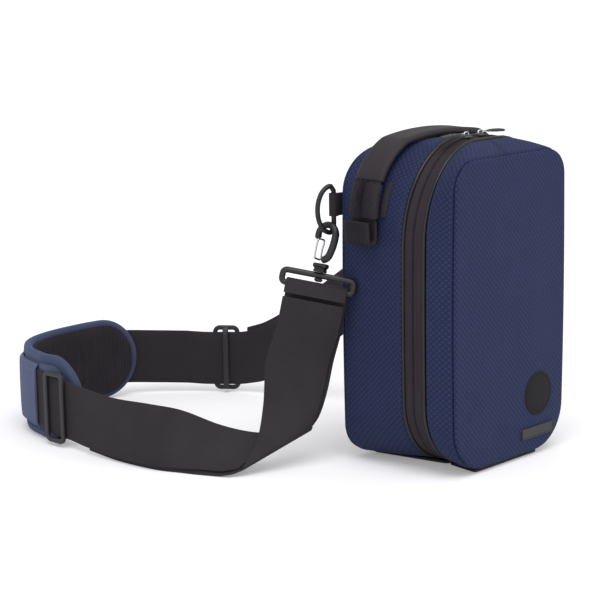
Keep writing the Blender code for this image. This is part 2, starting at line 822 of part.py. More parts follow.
def pad_layer(name, outer_off, thickness, half, finish, start, length, steps=34):
    loops = []
    for i in range(steps + 1):
        distance = mix(0.0012, length - 0.0012, (1 - math.cos(math.pi * i / steps)) / 2)
        high = tip_round(distance, half, length)
        spots = ((outer_off - thickness, -high), (outer_off - thickness, high),
                 (outer_off, high), (outer_off, -high))
        loops.append([pad_point(start + distance, off, pad_height / 2 + clearance + z)
                      for off, z in spots])
    loft(name, loops, finish)


def make_pad():
    rim = pad_thickness / 2
    core_half = pad_height / 2 - 2 * rim - clearance
    inset = 2 * rim + clearance
    pad_layer("pad_core", -core_gap, pad_thickness, core_half, navy_fabric, inset,
              pad_length - 2 * inset)
    pad_layer("pad_mesh", -core_gap - pad_thickness - clearance, pad_mesh_thickness, core_half,
              black_mesh, inset, pad_length - 2 * inset)
    points = []
    half = pad_height / 2 - rim
    steps = 30
    for sign in (1, -1):
        for i in range(steps):
            k = i / steps if sign > 0 else 1 - i / steps
            along = mix(0, pad_length - 2 * rim, (1 - math.cos(math.pi * k)) / 2)
            high = tip_round(along, half, pad_length - 2 * rim) * sign
            points.append(pad_point(rim + along, -core_gap - pad_thickness / 2,
                                    pad_height / 2 + clearance + high))
    tube("pad_binding", points, rim, navy_binding, cyclic=True)
    make_sleeve()


def make_sleeve():
    """Sewn channel on the pad's outer face that the webbing runs through."""
    room = webbing_thickness / 2 + 0.0008
    half = sleeve_height / 2 - 0.0022
    lip = half - sleeve_wall
    loops = []
    for i in range(31):
        distance = mix(0.052, pad_length - 0.034, i / 30)
        spots = ((-core_gap + clearance, -half), (room + sleeve_wall, -half),
                 (room + sleeve_wall, half), (-core_gap + clearance, half),
                 (-core_gap + clearance, lip), (room, lip), (room, -lip),
                 (-core_gap + clearance, -lip))
        loops.append([pad_point(distance, off, pad_height / 2 + z) for off, z in spots])
    loft("pad_sleeve", loops, navy_fabric)


def main():
    make_rear_shell()
    make_lid()
    make_zip()
    make_slider("left", slider_offset_left, -1)
    make_slider("right", slider_offset_right, 1)
    make_base()
    make_badges()
    make_handle()
    for name, side in (("left", -1), ("right", 1)):
        make_ring(name, side)
        make_tab(name, side)
        make_hook(name, side)
    make_strap()
    make_adjuster("adjuster_near", *near_slide)
    make_adjuster("adjuster_far", *far_slide)
    make_pad()


main()
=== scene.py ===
import math
import bmesh
import bpy
from mathutils import Matrix, Vector, noise


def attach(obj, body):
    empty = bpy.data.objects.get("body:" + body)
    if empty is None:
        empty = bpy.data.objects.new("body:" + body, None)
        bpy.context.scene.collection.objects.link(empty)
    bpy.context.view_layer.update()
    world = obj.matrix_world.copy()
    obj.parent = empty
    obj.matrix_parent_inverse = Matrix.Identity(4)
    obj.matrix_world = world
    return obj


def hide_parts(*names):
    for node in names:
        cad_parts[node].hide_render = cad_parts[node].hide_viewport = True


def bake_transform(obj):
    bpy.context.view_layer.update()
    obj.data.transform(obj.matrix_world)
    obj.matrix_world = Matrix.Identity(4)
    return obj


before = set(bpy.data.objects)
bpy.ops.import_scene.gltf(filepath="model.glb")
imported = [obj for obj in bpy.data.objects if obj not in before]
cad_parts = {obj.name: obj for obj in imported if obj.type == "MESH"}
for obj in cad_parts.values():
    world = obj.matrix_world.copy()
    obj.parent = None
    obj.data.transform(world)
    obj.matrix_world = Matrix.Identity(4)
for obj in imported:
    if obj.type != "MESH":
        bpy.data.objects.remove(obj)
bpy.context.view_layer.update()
scene = bpy.context.scene
mm = 0.001
print("frame loaded:", len(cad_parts), "nodes")


# ---- small helpers
def linearColour(code):
    parts = [int(code[i:i + 2], 16) / 255 for i in (0, 2, 4)]
    return tuple(c / 12.92 if c <= 0.04045 else ((c + 0.055) / 1.055) ** 2.4 for c in parts) + (1.0,)


def addNode(tree, kind, settings=None, links=None):
    node = tree.nodes.new(kind)
    for key, value in (settings or {}).items():
        setattr(node, key, value)
    for key, value in (links or {}).items():
        if isinstance(value, bpy.types.Node):
            value = value.outputs[0]
        if isinstance(value, bpy.types.NodeSocket):
            tree.links.new(value, node.inputs[key])
        else:
            node.inputs[key].default_value = value
    return node


def mix(a, b, k):
    return a + (b - a) * k


def smooth(k):
    k = min(max(k, 0.0), 1.0)
    return k * k * (3 - 2 * k)


def between(a, b, count):
    return [a + (b - a) * i / (count - 1) for i in range(count)]


def smoothRow(points, steps):
    ends = [2 * points[0] - points[1]] + list(points) + [2 * points[-1] - points[-2]]
    row = []
    for a, b, c, d in zip(ends, ends[1:], ends[2:], ends[3:]):
        for step in range(steps):
            t = step / steps
            row.append(0.5 * (2 * b + (c - a) * t + (2 * a - 5 * b + 4 * c - d) * t * t
                              + (3 * b - a - 3 * c + d) * t * t * t))
    row.append(points[-1].copy())
    return row


# ---- camera, floor and lights
cameraView = {"place": (-1.1323, -0.8897, 0.4164), "lens": 109.36,
              "right": (0.688, -0.726, -0.015), "back": (-0.710, -0.677, 0.196)}


def makeCamera():
    back = Vector(cameraView["back"]).normalized()
    right = Vector(cameraView["right"])
    right = (right - back * right.dot(back)).normalized()
    matrix = Matrix((right, back.cross(right), back)).transposed().to_4x4()
    matrix.translation = cameraView["place"]
    data = bpy.data.cameras.new("camera")
    data.lens, data.sensor_width, data.clip_start = cameraView["lens"], 36, 0.01
    camera = bpy.data.objects.new("camera", data)
    camera.matrix_world = matrix
    scene.collection.objects.link(camera)
    scene.camera = camera


studio = {"worldStrength": 0.62, "floorColour": "E9E9EC", "floorLift": 0.22, "floorSize": 40.0,
          # name: (energy, angle in degrees, where it shines from)
          "suns": {"topSun": (1.35, 42, (-0.25, -0.30, 1.0)), "frontSun": (0.85, 50, (0.45, -1.0, 0.35)),
                   "sideSun": (0.45, 50, (-1.0, -0.25, 0.30))}}


def makeStudio():
    scene.view_settings.view_transform = "Standard"
    world = bpy.data.worlds.new("studioWorld")
    scene.world = world
    world.use_nodes = True
    tree = world.node_tree
    tree.nodes.clear()
    path = addNode(tree, "ShaderNodeLightPath")
    soft = addNode(tree, "ShaderNodeBackground", None,
                   {"Color": (1, 1, 1, 1), "Strength": studio["worldStrength"]})
    white = addNode(tree, "ShaderNodeBackground", None, {"Color": (1, 1, 1, 1), "Strength": 1.0})
    choice = addNode(tree, "ShaderNodeMixShader", None,
                     {0: path.outputs["Is Camera Ray"], 1: soft, 2: white})
    addNode(tree, "ShaderNodeOutputWorld", None, {"Surface": choice})
    for name, (energy, angle, source) in studio["suns"].items():
        lamp = bpy.data.lights.new(name, "SUN")
        lamp.energy, lamp.angle = energy, math.radians(angle)
        holder = bpy.data.objects.new(name, lamp)
        holder.rotation_euler = Vector(source).to_track_quat("Z", "Y").to_euler()
        scene.collection.objects.link(holder)
    size = studio["floorSize"] / 2
    mesh = bpy.data.meshes.new("studioFloor")
    mesh.from_pydata([(-size, -size, -0.0004), (size, -size, -0.0004), (size, size, -0.0004),
                      (-size, size, -0.0004)], [], [(0, 1, 2, 3)])
    floor = bpy.data.objects.new("studioFloor", mesh)
    scene.collection.objects.link(floor)
    paint = bpy.data.materials.new("studioPaper")
    paint.use_nodes = True
    tree = paint.node_tree
    tree.nodes.clear()
    path = addNode(tree, "ShaderNodeLightPath")
    matt = addNode(tree, "ShaderNodeBsdfDiffuse", None, {"Color": linearColour(studio["floorColour"])})
    glow = addNode(tree, "ShaderNodeEmission", None,
                   {"Color": (1, 1, 1, 1), "Strength": studio["floorLift"]})
    both = addNode(tree, "ShaderNodeAddShader", None, {0: matt, 1: glow})
    choice = addNode(tree, "ShaderNodeMixShader", None,
                     {0: path.outputs["Is Camera Ray"], 1: matt, 2: both})
    addNode(tree, "ShaderNodeOutputMaterial", None, {"Surface": choice})
    mesh.materials.append(paint)


makeCamera()
makeStudio()
print("camera, floor and lights made")


# ---- materials
def startMaterial(name):
    made = bpy.data.materials.new(name)
    made.use_nodes = True
    tree = made.node_tree
    tree.nodes.clear()
    shader = addNode(tree, "ShaderNodeBsdfPrincipled")
    addNode(tree, "ShaderNodeOutputMaterial", None, {"Surface": shader})
    return made, tree, shader


def setShader(shader, **values):
    for key, value in values.items():
        shader.inputs[key.replace("_", " ")].default_value = value


def clothHeight(tree, source, cell, shape):
    # shape picks how two slanted waves meet: MULTIPLY for cells, ADD for twill
    place = addNode(tree, "ShaderNodeSeparateXYZ", None, {0: source})
    across = addNode(tree, "ShaderNodeMath", {"operation": "MULTIPLY"}, {0: place.outputs[0], 1: 1 / cell[0]})
    along = addNode(tree, "ShaderNodeMath", {"operation": "MULTIPLY"}, {0: place.outputs[1], 1: 1 / cell[1]})
    waves = []
    for way in ("ADD", "SUBTRACT"):
        slant = addNode(tree, "ShaderNodeMath", {"operation": way}, {0: across, 1: along})
        turned = addNode(tree, "ShaderNodeMath", {"operation": "MULTIPLY"}, {0: slant, 1: math.pi})
        wave = addNode(tree, "ShaderNodeMath", {"operation": "SINE"}, {0: turned})
        waves.append(addNode(tree, "ShaderNodeMath", {"operation": "ABSOLUTE"}, {0: wave}))
    return addNode(tree, "ShaderNodeMath", {"operation": shape}, {0: waves[0], 1: waves[1]})


# light is the lozenges' colour; dark is the ditches' colour, with painted shade in it
jacquard = {"light": "29335A", "dark": "1A203C", "cell": (0.0046, 0.0048), "thread": 0.0007,
            "rough": 0.72, "sheen": 0.10, "bump": 0.6}


def makeJacquard():
    # polyester jacquard: raised lozenges in a slightly glossy thread; the colour follows the same relief, so the woven
    # pattern also carries painted shade that darkens the ditches
    made, tree, shader = startMaterial("navyPolyesterJacquard")
    source = addNode(tree, "ShaderNodeUVMap", {"uv_map": "cloth"})
    cells = clothHeight(tree, source, jacquard["cell"], "MINIMUM")
    threads = clothHeight(tree, source, (jacquard["thread"], jacquard["thread"]), "MULTIPLY")
    fine = addNode(tree, "ShaderNodeMath", {"operation": "MULTIPLY"}, {0: threads, 1: 0.18})
    height = addNode(tree, "ShaderNodeMath", {"operation": "ADD"}, {0: cells, 1: fine})
    bump = addNode(tree, "ShaderNodeBump", None,
                   {"Height": height, "Strength": jacquard["bump"], "Distance": 0.0005})
    position = addNode(tree, "ShaderNodeTexCoord")
    cloud = addNode(tree, "ShaderNodeTexNoise", None,
                    {"Vector": position.outputs["Object"], "Scale": 22.0, "Detail": 2.0})
    level = addNode(tree, "ShaderNodeMath", {"operation": "MULTIPLY_ADD"}, {0: cloud, 1: 0.35, 2: -0.17})
    # painted shade: the colour runs from the dark ditch colour to the light lozenge colour with the cell height
    share = addNode(tree, "ShaderNodeMath", {"operation": "ADD", "use_clamp": True}, {0: cells, 1: level})
    colour = addNode(tree, "ShaderNodeMix", {"data_type": "RGBA"},
                     {0: share, 6: linearColour(jacquard["dark"]), 7: linearColour(jacquard["light"])})
    tree.links.new(colour.outputs[2], shader.inputs["Base Color"])
    tree.links.new(bump.outputs[0], shader.inputs["Normal"])
    setShader(shader, Roughness=jacquard["rough"], Sheen_Weight=jacquard["sheen"], Sheen_Roughness=0.4)
    shader.inputs["Sheen Tint"].default_value = linearColour("7F8EB4")
    shader.inputs["Specular IOR Level"].default_value = 0.22
    return made


def makeWoven(name, light, dark, cell, shape, rough=0.8, bump=0.45, sheen=0.1, tint="808080", depth=0.0004):
    made, tree, shader = startMaterial(name)
    source = addNode(tree, "ShaderNodeUVMap", {"uv_map": "cloth"})
    threads = clothHeight(tree, source, cell, shape)
    position = addNode(tree, "ShaderNodeTexCoord")
    cloud = addNode(tree, "ShaderNodeTexNoise", None,
                    {"Vector": position.outputs["Object"], "Scale": 40.0, "Detail": 3.0})
    level = addNode(tree, "ShaderNodeMath", {"operation": "MULTIPLY_ADD"}, {0: cloud, 1: 0.5, 2: -0.25})
    # painted shade: the colour follows the thread relief, darker in the low places between threads, on top of each
    # weave's own two tones
    share = addNode(tree, "ShaderNodeMath", {"operation": "ADD", "use_clamp": True}, {0: threads, 1: level})
    colour = addNode(tree, "ShaderNodeMix", {"data_type": "RGBA"},
                     {0: share, 6: linearColour(dark), 7: linearColour(light)})
    relief = addNode(tree, "ShaderNodeBump", None,
                     {"Height": threads, "Strength": bump, "Distance": depth})
    tree.links.new(colour.outputs[2], shader.inputs["Base Color"])
    tree.links.new(relief.outputs[0], shader.inputs["Normal"])
    setShader(shader, Roughness=rough, Sheen_Weight=sheen, Sheen_Roughness=0.4)
    shader.inputs["Sheen Tint"].default_value = linearColour(tint)
    shader.inputs["Specular IOR Level"].default_value = 0.3
    return made


def makeMoulded(name, colour, worn, rough, grain, metallic=0.0, bump=0.15, coat=0.0):
    made, tree, shader = startMaterial(name)
    position = addNode(tree, "ShaderNodeTexCoord")
    speck = addNode(tree, "ShaderNodeTexNoise", None,
                    {"Vector": position.outputs["Object"], "Scale": 1 / grain, "Detail": 4.0})
    mottle = addNode(tree, "ShaderNodeMix", {"data_type": "RGBA"},
                     {0: speck, 6: linearColour(colour), 7: linearColour(worn)})
    gloss = addNode(tree, "ShaderNodeMath", {"operation": "MULTIPLY_ADD"}, {0: speck, 1: 0.2, 2: rough - 0.1})
    relief = addNode(tree, "ShaderNodeBump", None, {"Height": speck, "Strength": bump, "Distance": 0.0002})
    tree.links.new(mottle.outputs[2], shader.inputs["Base Color"])
    tree.links.new(gloss.outputs[0], shader.inputs["Roughness"])
    tree.links.new(relief.outputs[0], shader.inputs["Normal"])
    setShader(shader, Metallic=metallic, Coat_Weight=coat)
    return made


# in the woven finishes the darker of the two colours carries painted shade between the threads
finishes = {
    "jacquard": makeJacquard(),
    # nylon webbing: rounded ribs of twill, dull with a faint sheen
    "webbing": makeWoven("blackNylonWebbing", "353034", "1F1B1F", (0.0018, 0.0018), "MULTIPLY", 0.7, 0.5, 0.12),
    "handleTape": makeWoven("blackGrosgrain", "342F37", "1B181E", (0.004, 0.0015), "MULTIPLY", 0.72, 0.6, 0.1),
    "zipTape": makeWoven("blackZipTape", "39323A", "221D22", (0.0016, 0.0011), "MULTIPLY", 0.75, 0.4, 0.1),
    "lining": makeWoven("blackBrushedTricot", "35363B", "202126", (0.0018, 0.0018), "MULTIPLY", 0.95, 0.3, 0.3),
    "baseCloth": makeWoven("blackCoatedCanvas", "2C2C30", "17171A", (0.0016, 0.0016), "MULTIPLY", 0.6, 0.4, 0.05),
    "denier": makeWoven("navyPolyester", "5C6482", "484F6B", (0.0012, 0.0012), "MULTIPLY", 0.8, 0.35, 0.2, "8FA5D0"),
    "binding": makeWoven("navyBindingTape", "4A5474", "303A56", (0.0010, 0.0016), "MULTIPLY", 0.75, 0.5, 0.35,
                          "93A9D6"),
    "knit": makeWoven("blackSpacerKnit", "3D373F", "1E1A1F", (0.0020, 0.0016), "MULTIPLY", 0.9, 0.6, 0.15),
    "patch": makeWoven("blackLoopPatch", "2B292C", "161517", (0.0014, 0.0011), "MULTIPLY", 0.95, 0.9, 0.1),
    "thread": makeMoulded("polyesterThread", "262A38", "343A4C", 0.7, 0.002),
    "acetal": makeMoulded("blackAcetal", "202022", "2B2B2D", 0.42, 0.0012),
    "enamel": makeMoulded("blackEnamelledZinc", "151416", "1F1E20", 0.45, 0.004, 0.0, 0.08, 0.1),
    "piping": makeMoulded("blackVinylPiping", "0C0B0D", "131214", 0.42, 0.006, 0.0, 0.05, 0.1),
    "rubber": makeMoulded("blackMouldedRubber", "262629", "323236", 0.5, 0.001),
    "steel": makeMoulded("polishedSteelWire", "C9C9CC", "DADADC", 0.25, 0.003, 1.0, 0.03),
    "darkSteel": makeMoulded("gunmetalSlider", "4A4A4E", "6A6A6F", 0.3, 0.003, 1.0, 0.03),
}
print("materials made:", len(finishes))


# ---- mesh making
def loftPiece(name, rows, finish, loop=False, open_=False, sharp=40, reference=0):
    # rows of equal count; each row is a closed section unless open_, and loop joins last to first
    bm = bmesh.new()
    uv = bm.loops.layers.uv.new("cloth")
    count = len(rows[0])
    grid = [[bm.verts.new(p) for p in row] for row in rows]
    base = rows[reference]
    across = [0.0]
    for i in range(count):
        across.append(across[-1] + (base[(i + 1) % count] - base[i]).length)
    along = [0.0]
    for a, b in zip(rows, rows[1:] + rows[:1]):
        along.append(along[-1] + sum((q - p).length for p, q in zip(a, b)) / count)
    for j in range(len(rows) if loop else len(rows) - 1):
        for i in range(count if not open_ else count - 1):
            n, m = (i + 1) % count, (j + 1) % len(rows)
            corners = [(grid[j][i], i, j), (grid[j][n], i + 1, j), (grid[m][n], i + 1, j + 1),
                       (grid[m][i], i, j + 1)]
            if len({id(c[0]) for c in corners}) < 4:
                continue
            face = bm.faces.new([c[0] for c in corners])
            for corner, (_, u, v) in zip(face.loops, corners):
                corner[uv].uv = (across[u], along[v])
    if not loop and not open_:
        for row in (grid[0], grid[-1]):
            face = bm.faces.new(row)
            for corner in face.loops:
                spot = corner.vert.co
                corner[uv].uv = (spot.x, spot.z)
    bmesh.ops.remove_doubles(bm, verts=bm.verts[:], dist=0.000005)
    bmesh.ops.recalc_face_normals(bm, faces=bm.faces[:])
    return finishMesh(name, bm, finish, sharp)


def finishMesh(name, bm, finish, sharp=40):
    mesh = bpy.data.meshes.new(name)
    bm.to_mesh(mesh)
    bm.free()
    mesh.polygons.foreach_set("use_smooth", [True] * len(mesh.polygons))
    mesh.set_sharp_from_angle(angle=math.radians(sharp))
    mesh.materials.append(finishes[finish])
    piece = bpy.data.objects.new(name, mesh)
    scene.collection.objects.link(piece)
    return piece


def dress(piece, body, slotName, *stoodFor):
    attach(piece, body)
    if stoodFor:
        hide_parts(*stoodFor)
    return piece


def frames(points, closed, up=None):
    # tangent and two cross directions at each point, carried along without twisting
    count = len(points)
    found = []
    last = up
    for i in range(count):
        before = points[(i - 1) % count] if closed or i else points[0]
        after = points[(i + 1) % count] if closed or i < count - 1 else points[-1]
        run = (after - before).normalized()
        if last is None:
            last = run.orthogonal()
        last = (last - run * last.dot(run)).normalized()
        found.append((run, last, run.cross(last)))
    return found


def sweep(name, points, radius, finish, closed=False, sides=14, flat=1.0, up=None):
    # round or oval section along points; radius is one number or one for each point
    radii = radius if isinstance(radius, list) else [radius] * len(points)
    rows = []
    for point, r, (_, a, b) in zip(points, radii, frames(points, closed, up)):
        rows.append([point + a * r * math.cos(2 * math.pi * i / sides)
                     + b * r * flat * math.sin(2 * math.pi * i / sides) for i in range(sides)])
    return loftPiece(name, rows, finish, loop=closed, sharp=60)


def lathe(name, profile, matrix, finish, sides=36):
    # profile of (radius, height) pairs turned about the matrix's Z
    rows = [[matrix @ Vector((r * math.cos(2 * math.pi * i / sides), r * math.sin(2 * math.pi * i / sides), z))
             for i in range(sides)] for r, z in profile]
    return loftPiece(name, rows, finish, sharp=50)


def roundedBox(name, low, high, finish, bevel, matrix=None, segments=3):
    bm = bmesh.new()
    uv = bm.loops.layers.uv.new("cloth")
    bmesh.ops.create_cube(bm, size=1.0)
    low, high = Vector(low), Vector(high)
    for v in bm.verts:
        v.co = Vector([mix(a, b, c + 0.5) for a, b, c in zip(low, high, v.co)])
    bmesh.ops.bevel(bm, geom=bm.edges[:], offset=bevel, segments=segments, profile=0.5, affect="EDGES")
    for face in bm.faces:
        for corner in face.loops:
            corner[uv].uv = (corner.vert.co.x + corner.vert.co.y, corner.vert.co.z)
    if matrix:
        bmesh.ops.transform(bm, matrix=matrix, verts=bm.verts[:])
    bmesh.ops.recalc_face_normals(bm, faces=bm.faces[:])
    return finishMesh(name, bm, finish, 60)


def makeRepeatTree():
    # one small rounded stitch or rib, set along a curve at a spacing and turned with it
    tree = bpy.data.node_groups.new("repeatAlongLine", "GeometryNodeTree")
    face = tree.interface
    face.new_socket("Geometry", in_out="INPUT", socket_type="NodeSocketGeometry")
    face.new_socket("Spacing", in_out="INPUT", socket_type="NodeSocketFloat")
    face.new_socket("Size", in_out="INPUT", socket_type="NodeSocketVector")
    face.new_socket("Finish", in_out="INPUT", socket_type="NodeSocketMaterial")
    face.new_socket("Geometry", in_out="OUTPUT", socket_type="NodeSocketGeometry")
    given = addNode(tree, "NodeGroupInput")
    spots = addNode(tree, "GeometryNodeCurveToPoints", {"mode": "LENGTH"},
                    {"Curve": given.outputs["Geometry"], "Length": given.outputs["Spacing"]})
    ball = addNode(tree, "GeometryNodeMeshUVSphere", None, {"Segments": 8, "Rings": 6, "Radius": 0.5})
    placed = addNode(tree, "GeometryNodeInstanceOnPoints", None,
                     {"Points": spots.outputs["Points"], "Instance": ball.outputs["Mesh"],
                      "Rotation": spots.outputs["Rotation"], "Scale": given.outputs["Size"]})
    real = addNode(tree, "GeometryNodeRealizeInstances", None, {0: placed})
    shaded = addNode(tree, "GeometryNodeSetShadeSmooth", None, {0: real})
    coated = addNode(tree, "GeometryNodeSetMaterial", None,
                     {"Geometry": shaded, "Material": given.outputs["Finish"]})
    addNode(tree, "NodeGroupOutput", None, {0: coated})
    return tree


repeatTree = makeRepeatTree()


def repeatAlong(name, lines, spacing, size, finish, tilt=None):
    # lines: lists of points; size: (across, out, along) of each repeat
    data = bpy.data.curves.new(name, "CURVE")
    data.dimensions = "3D"
    data.twist_mode = "Z_UP" if tilt is None else tilt
    for line in lines:
        closed = line[0] is line[-1]
        spots = line[:-1] if closed else line
        spline = data.splines.new("POLY")
        spline.points.add(len(spots) - 1)
        for target, spot in zip(spline.points, spots):
            target.co = (*spot, 1.0)
        spline.use_cyclic_u = closed
    holder = bpy.data.objects.new(name + "Line", data)
    scene.collection.objects.link(holder)
    change = holder.modifiers.new("repeat", "NODES")
    change.node_group = repeatTree
    keys = {item.name: item.identifier for item in repeatTree.interface.items_tree
            if item.in_out == "INPUT"}
    change[keys["Spacing"]] = spacing
    change[keys["Size"]] = size
    change[keys["Finish"]] = finishes[finish]
    depsgraph = bpy.context.evaluated_depsgraph_get()
    mesh = bpy.data.meshes.new_from_object(holder.evaluated_get(depsgraph))
    bpy.data.objects.remove(holder, do_unlink=True)
    mesh.name = name
    piece = bpy.data.objects.new(name, mesh)
    scene.collection.objects.link(piece)
    return piece


# ---- the case's outline
shell = {"height": 0.260, "halfWidth": 0.0775, "bulge": 0.0021, "backY": 0.0698, "frontY": -0.0405,
         "zipY": -0.0053, "bandHalf": 0.0088, "baseGap": 0.0025, "backDrop": 0.0072, "frontDrop": 0.0118,
         "frontTaper": 0.0074, "wall": 0.0035, "liningThick": 0.0012, "crown": 0.0013, "puff": 0.0005, "waver": 0.00022,
         "zipCorners": (0.0654, 0.0785, 0.0546), "backCorners": (0.0454, 0.0346, 0.0264),
         "frontCorners": (0.0202, 0.0202, 0.0353), "arcSteps": 14, "sideSteps": 10, "flatSteps": 5}
zipY = shell["zipY"]
tapeRear, tapeFront = zipY + shell["bandHalf"], zipY - shell["bandHalf"]
gussetRear, gussetFront = tapeRear + 0.0026, tapeFront - 0.0026
backSeam, frontSeam = shell["backY"] - 0.0040, shell["frontY"] + 0.0028


def outlineRing(y, inset=0.0):
    half, top, corners = shell["halfWidth"], shell["height"], shell["zipCorners"]
    if y > tapeRear:
        k = (y - tapeRear) / (shell["backY"] - tapeRear)
        top -= shell["backDrop"] * k
        corners = [mix(a, b, k) for a, b in zip(corners, shell["backCorners"])]
    elif y < tapeFront:
        k = (tapeFront - y) / (tapeFront - shell["frontY"])
        half -= shell["frontTaper"] * k
        top -= shell["frontDrop"] * k
        corners = [mix(a, b, k) for a, b in zip(corners, shell["frontCorners"])]
    across, along, low = [max(r - inset, 0.003) for r in corners]
    half, top, bottom = half - inset, top - inset, shell["baseGap"] + inset
    arc, straight, flat = shell["arcSteps"], shell["sideSteps"], shell["flatSteps"]
    quarter = [math.pi / 2 * i / arc for i in range(arc + 1)]
    right = [((half - low) * i / flat, bottom) for i in range(1, flat)]
    right += [(half - low + low * math.sin(t), bottom + low - low * math.cos(t)) for t in quarter]
    right += [(half, mix(bottom + low, top - along, i / straight)) for i in range(1, straight)]
    right += [(half - across + across * math.cos(t), top - along + along * math.sin(t)) for t in quarter]
    right += [((half - across) * (1 - i / flat), top) for i in range(1, flat)]
    swelled = []
    for x, z in right:
        swell = shell["bulge"] * math.sin(math.pi * min(max(z / shell["height"], 0), 1))
        swelled.append((x + swell * min(x / half, 1), z))
    ring = [(0, bottom)] + swelled + [(0, top)] + [(-x, z) for x, z in reversed(swelled)]
    return [Vector((x, y, z)) for x, z in ring]


def surfaceX(y, z):
    ring = outlineRing(y)
    for a, b in zip(ring, ring[1:]):
        if min(a.z, b.z) <= z <= max(a.z, b.z) and a.x > 0 and a.z != b.z:
            return mix(a.x, b.x, (z - a.z) / (b.z - a.z))
    return shell["halfWidth"]


def waver(point, share):
    # very slight unevenness of laminated cloth
    return point + Vector((0, 1, 0)) * noise.noise(point * 22) * shell["waver"] * share


def layCloth(piece):
    # cloth runs up each side and over the top along the seam's own length, with its width across the gusset
    half, rise = shell["halfWidth"] - 0.045, shell["height"] - 0.070
    layer = piece.data.uv_layers["cloth"].data
    for loop in piece.data.loops:
        spot = piece.data.vertices[loop.vertex_index].co
        lift = max(spot.z - rise, 0)
        turn = math.atan2(lift, max(abs(spot.x) - half, 0.0001)) if lift > 0 else 0
        past = 0.055 * turn if abs(spot.x) > half else 0.055 * math.pi / 2 + half - abs(spot.x)
        side = 1 if spot.x >= 0 else -1
        run = spot.z if lift == 0 else rise + past
        layer[loop.index].uv = (side * run, spot.y)
    return piece


def gussetSkin(name, lip, seam):
    way = 1 if seam > lip else -1
    profile = [(lip, shell["wall"]), (lip, 0.0022), (lip + way * 0.0003, 0.0009), (lip + way * 0.0012, 0.0001)]
    for k in between(0, 1, 16)[1:-1]:
        profile.append((mix(lip + way * 0.0012, seam - way * 0.0030, k), -shell["puff"] * math.sin(math.pi * k)))
    profile += [(seam - way * 0.0026, 0.0), (seam - way * 0.0012, 0.0002), (seam - way * 0.0004, 0.0008),
                (seam, 0.0018), (seam, shell["wall"])]
    profile += [(mix(seam, lip, k), shell["wall"]) for k in (0.25, 0.5, 0.75)]
    return layCloth(loftPiece(name, [outlineRing(y, inset) for y, inset in profile], "jacquard", loop=True))


def panelSkin(name, seam, face):
    way = 1 if face > seam else -1
    deep = abs(face - seam)
    seam += way * 0.0003
    profile = [(seam, 0.0042), (seam, 0.0026), (seam + way * deep * 0.18, 0.0016), (seam + way * deep * 0.42, 0.0013),
               (seam + way * deep * 0.68, 0.0018), (seam + way * deep * 0.88, 0.0032), (face, 0.0056)]
    rows = [outlineRing(y, inset) for y, inset in profile]
    reach = 0.064
    for inset in between(0.0056, reach, 15)[1:]:
        k = (inset - 0.0056) / (reach - 0.0056)
        rows.append([waver(p + Vector((0, way * shell["crown"] * smooth(k * 1.4), 0)), 1) for p in
                     outlineRing(face, inset)])
    piece = loftPiece(name, rows, "jacquard", sharp=50)
    layer = piece.data.uv_layers["cloth"].data
    for loop in piece.data.loops:
        spot = piece.data.vertices[loop.vertex_index].co
        layer[loop.index].uv = (spot.x, spot.z)
    return piece


def liningSkin(name, lip, floor):
    way = 1 if floor > lip else -1
    seat = shell["wall"] + 0.0014
    thick = shell["liningThick"]
    profile = [(mix(lip, floor, k), seat) for k in (0, 0.3, 0.6, 0.9)] + [(floor, seat + 0.002)]
    rows = [outlineRing(y, inset) for y, inset in profile]
    meet = shell["halfWidth"] + shell["bulge"]
    for inset in (0.02, 0.04, 0.058, meet):
        rows.append(outlineRing(floor, inset))
    for inset in (meet, 0.058, 0.04, 0.02, 0.009):
        rows.append(outlineRing(floor - way * (thick + 0.0006 * smooth(inset / 0.03)), inset))
    rows += [outlineRing(mix(lip, floor, k) - (way * thick if k == 0.95 else 0), seat + thick)
             for k in (0.95, 0.8, 0.5, 0.25, 0)]
    return loftPiece(name, rows, "lining", loop=True, sharp=50)


dress(gussetSkin("rearGusset", gussetRear, backSeam), "root", "navy_fabric", "rear_gusset")
dress(gussetSkin("lidGusset", gussetFront, frontSeam), "lid", "navy_fabric", "lid_gusset")
dress(panelSkin("backPanel", backSeam, shell["backY"]), "root", "navy_fabric", "back_panel")
dress(panelSkin("frontPanel", frontSeam, shell["frontY"]), "lid", "navy_fabric", "front_panel")
dress(liningSkin("rearLining", gussetRear, backSeam - 0.0003), "root", "black_fabric", "rear_lining")
dress(liningSkin("lidLining", gussetFront, frontSeam + 0.0003), "lid", "black_fabric", "lid_lining")
print("case skins made")


# ---- zip
zipper = {"tooth": (0.0013, 0.0008, 0.0009), "toothSpacing": 0.0015, "pipingRadius": 0.0010,
          "stitchSpacing": 0.0031, "stitch": (0.0005, 0.0005, 0.0023), "stitchOff": 0.0028}


def tapeSkin(name, way):
    profile = [(0.0003, 0.0012), (0.0004, 0.0005), (0.0010, 0.0003), (0.0019, 0.0004), (0.0023, 0.0009),
               (0.0027, 0.0012),
               (0.0032, 0.0010), (0.0045, 0.0009), (0.0049, 0.0006), (0.0053, 0.0010), (0.0068, 0.0010),
               (0.0072, 0.0007), (0.0076, 0.0010), (0.0087, 0.0010), (0.0087, 0.0022), (0.0003, 0.0022)]
    return loftPiece(name, [outlineRing(zipY + way * d, inset) for d, inset in profile], "zipTape", loop=True, sharp=70)


def closedLine(y, inset, skipBase=False):
    ring = outlineRing(y, inset)
    if skipBase:
        flat = shell["flatSteps"]
        return ring[flat:len(ring) - flat + 1]
    return ring + ring[:1]


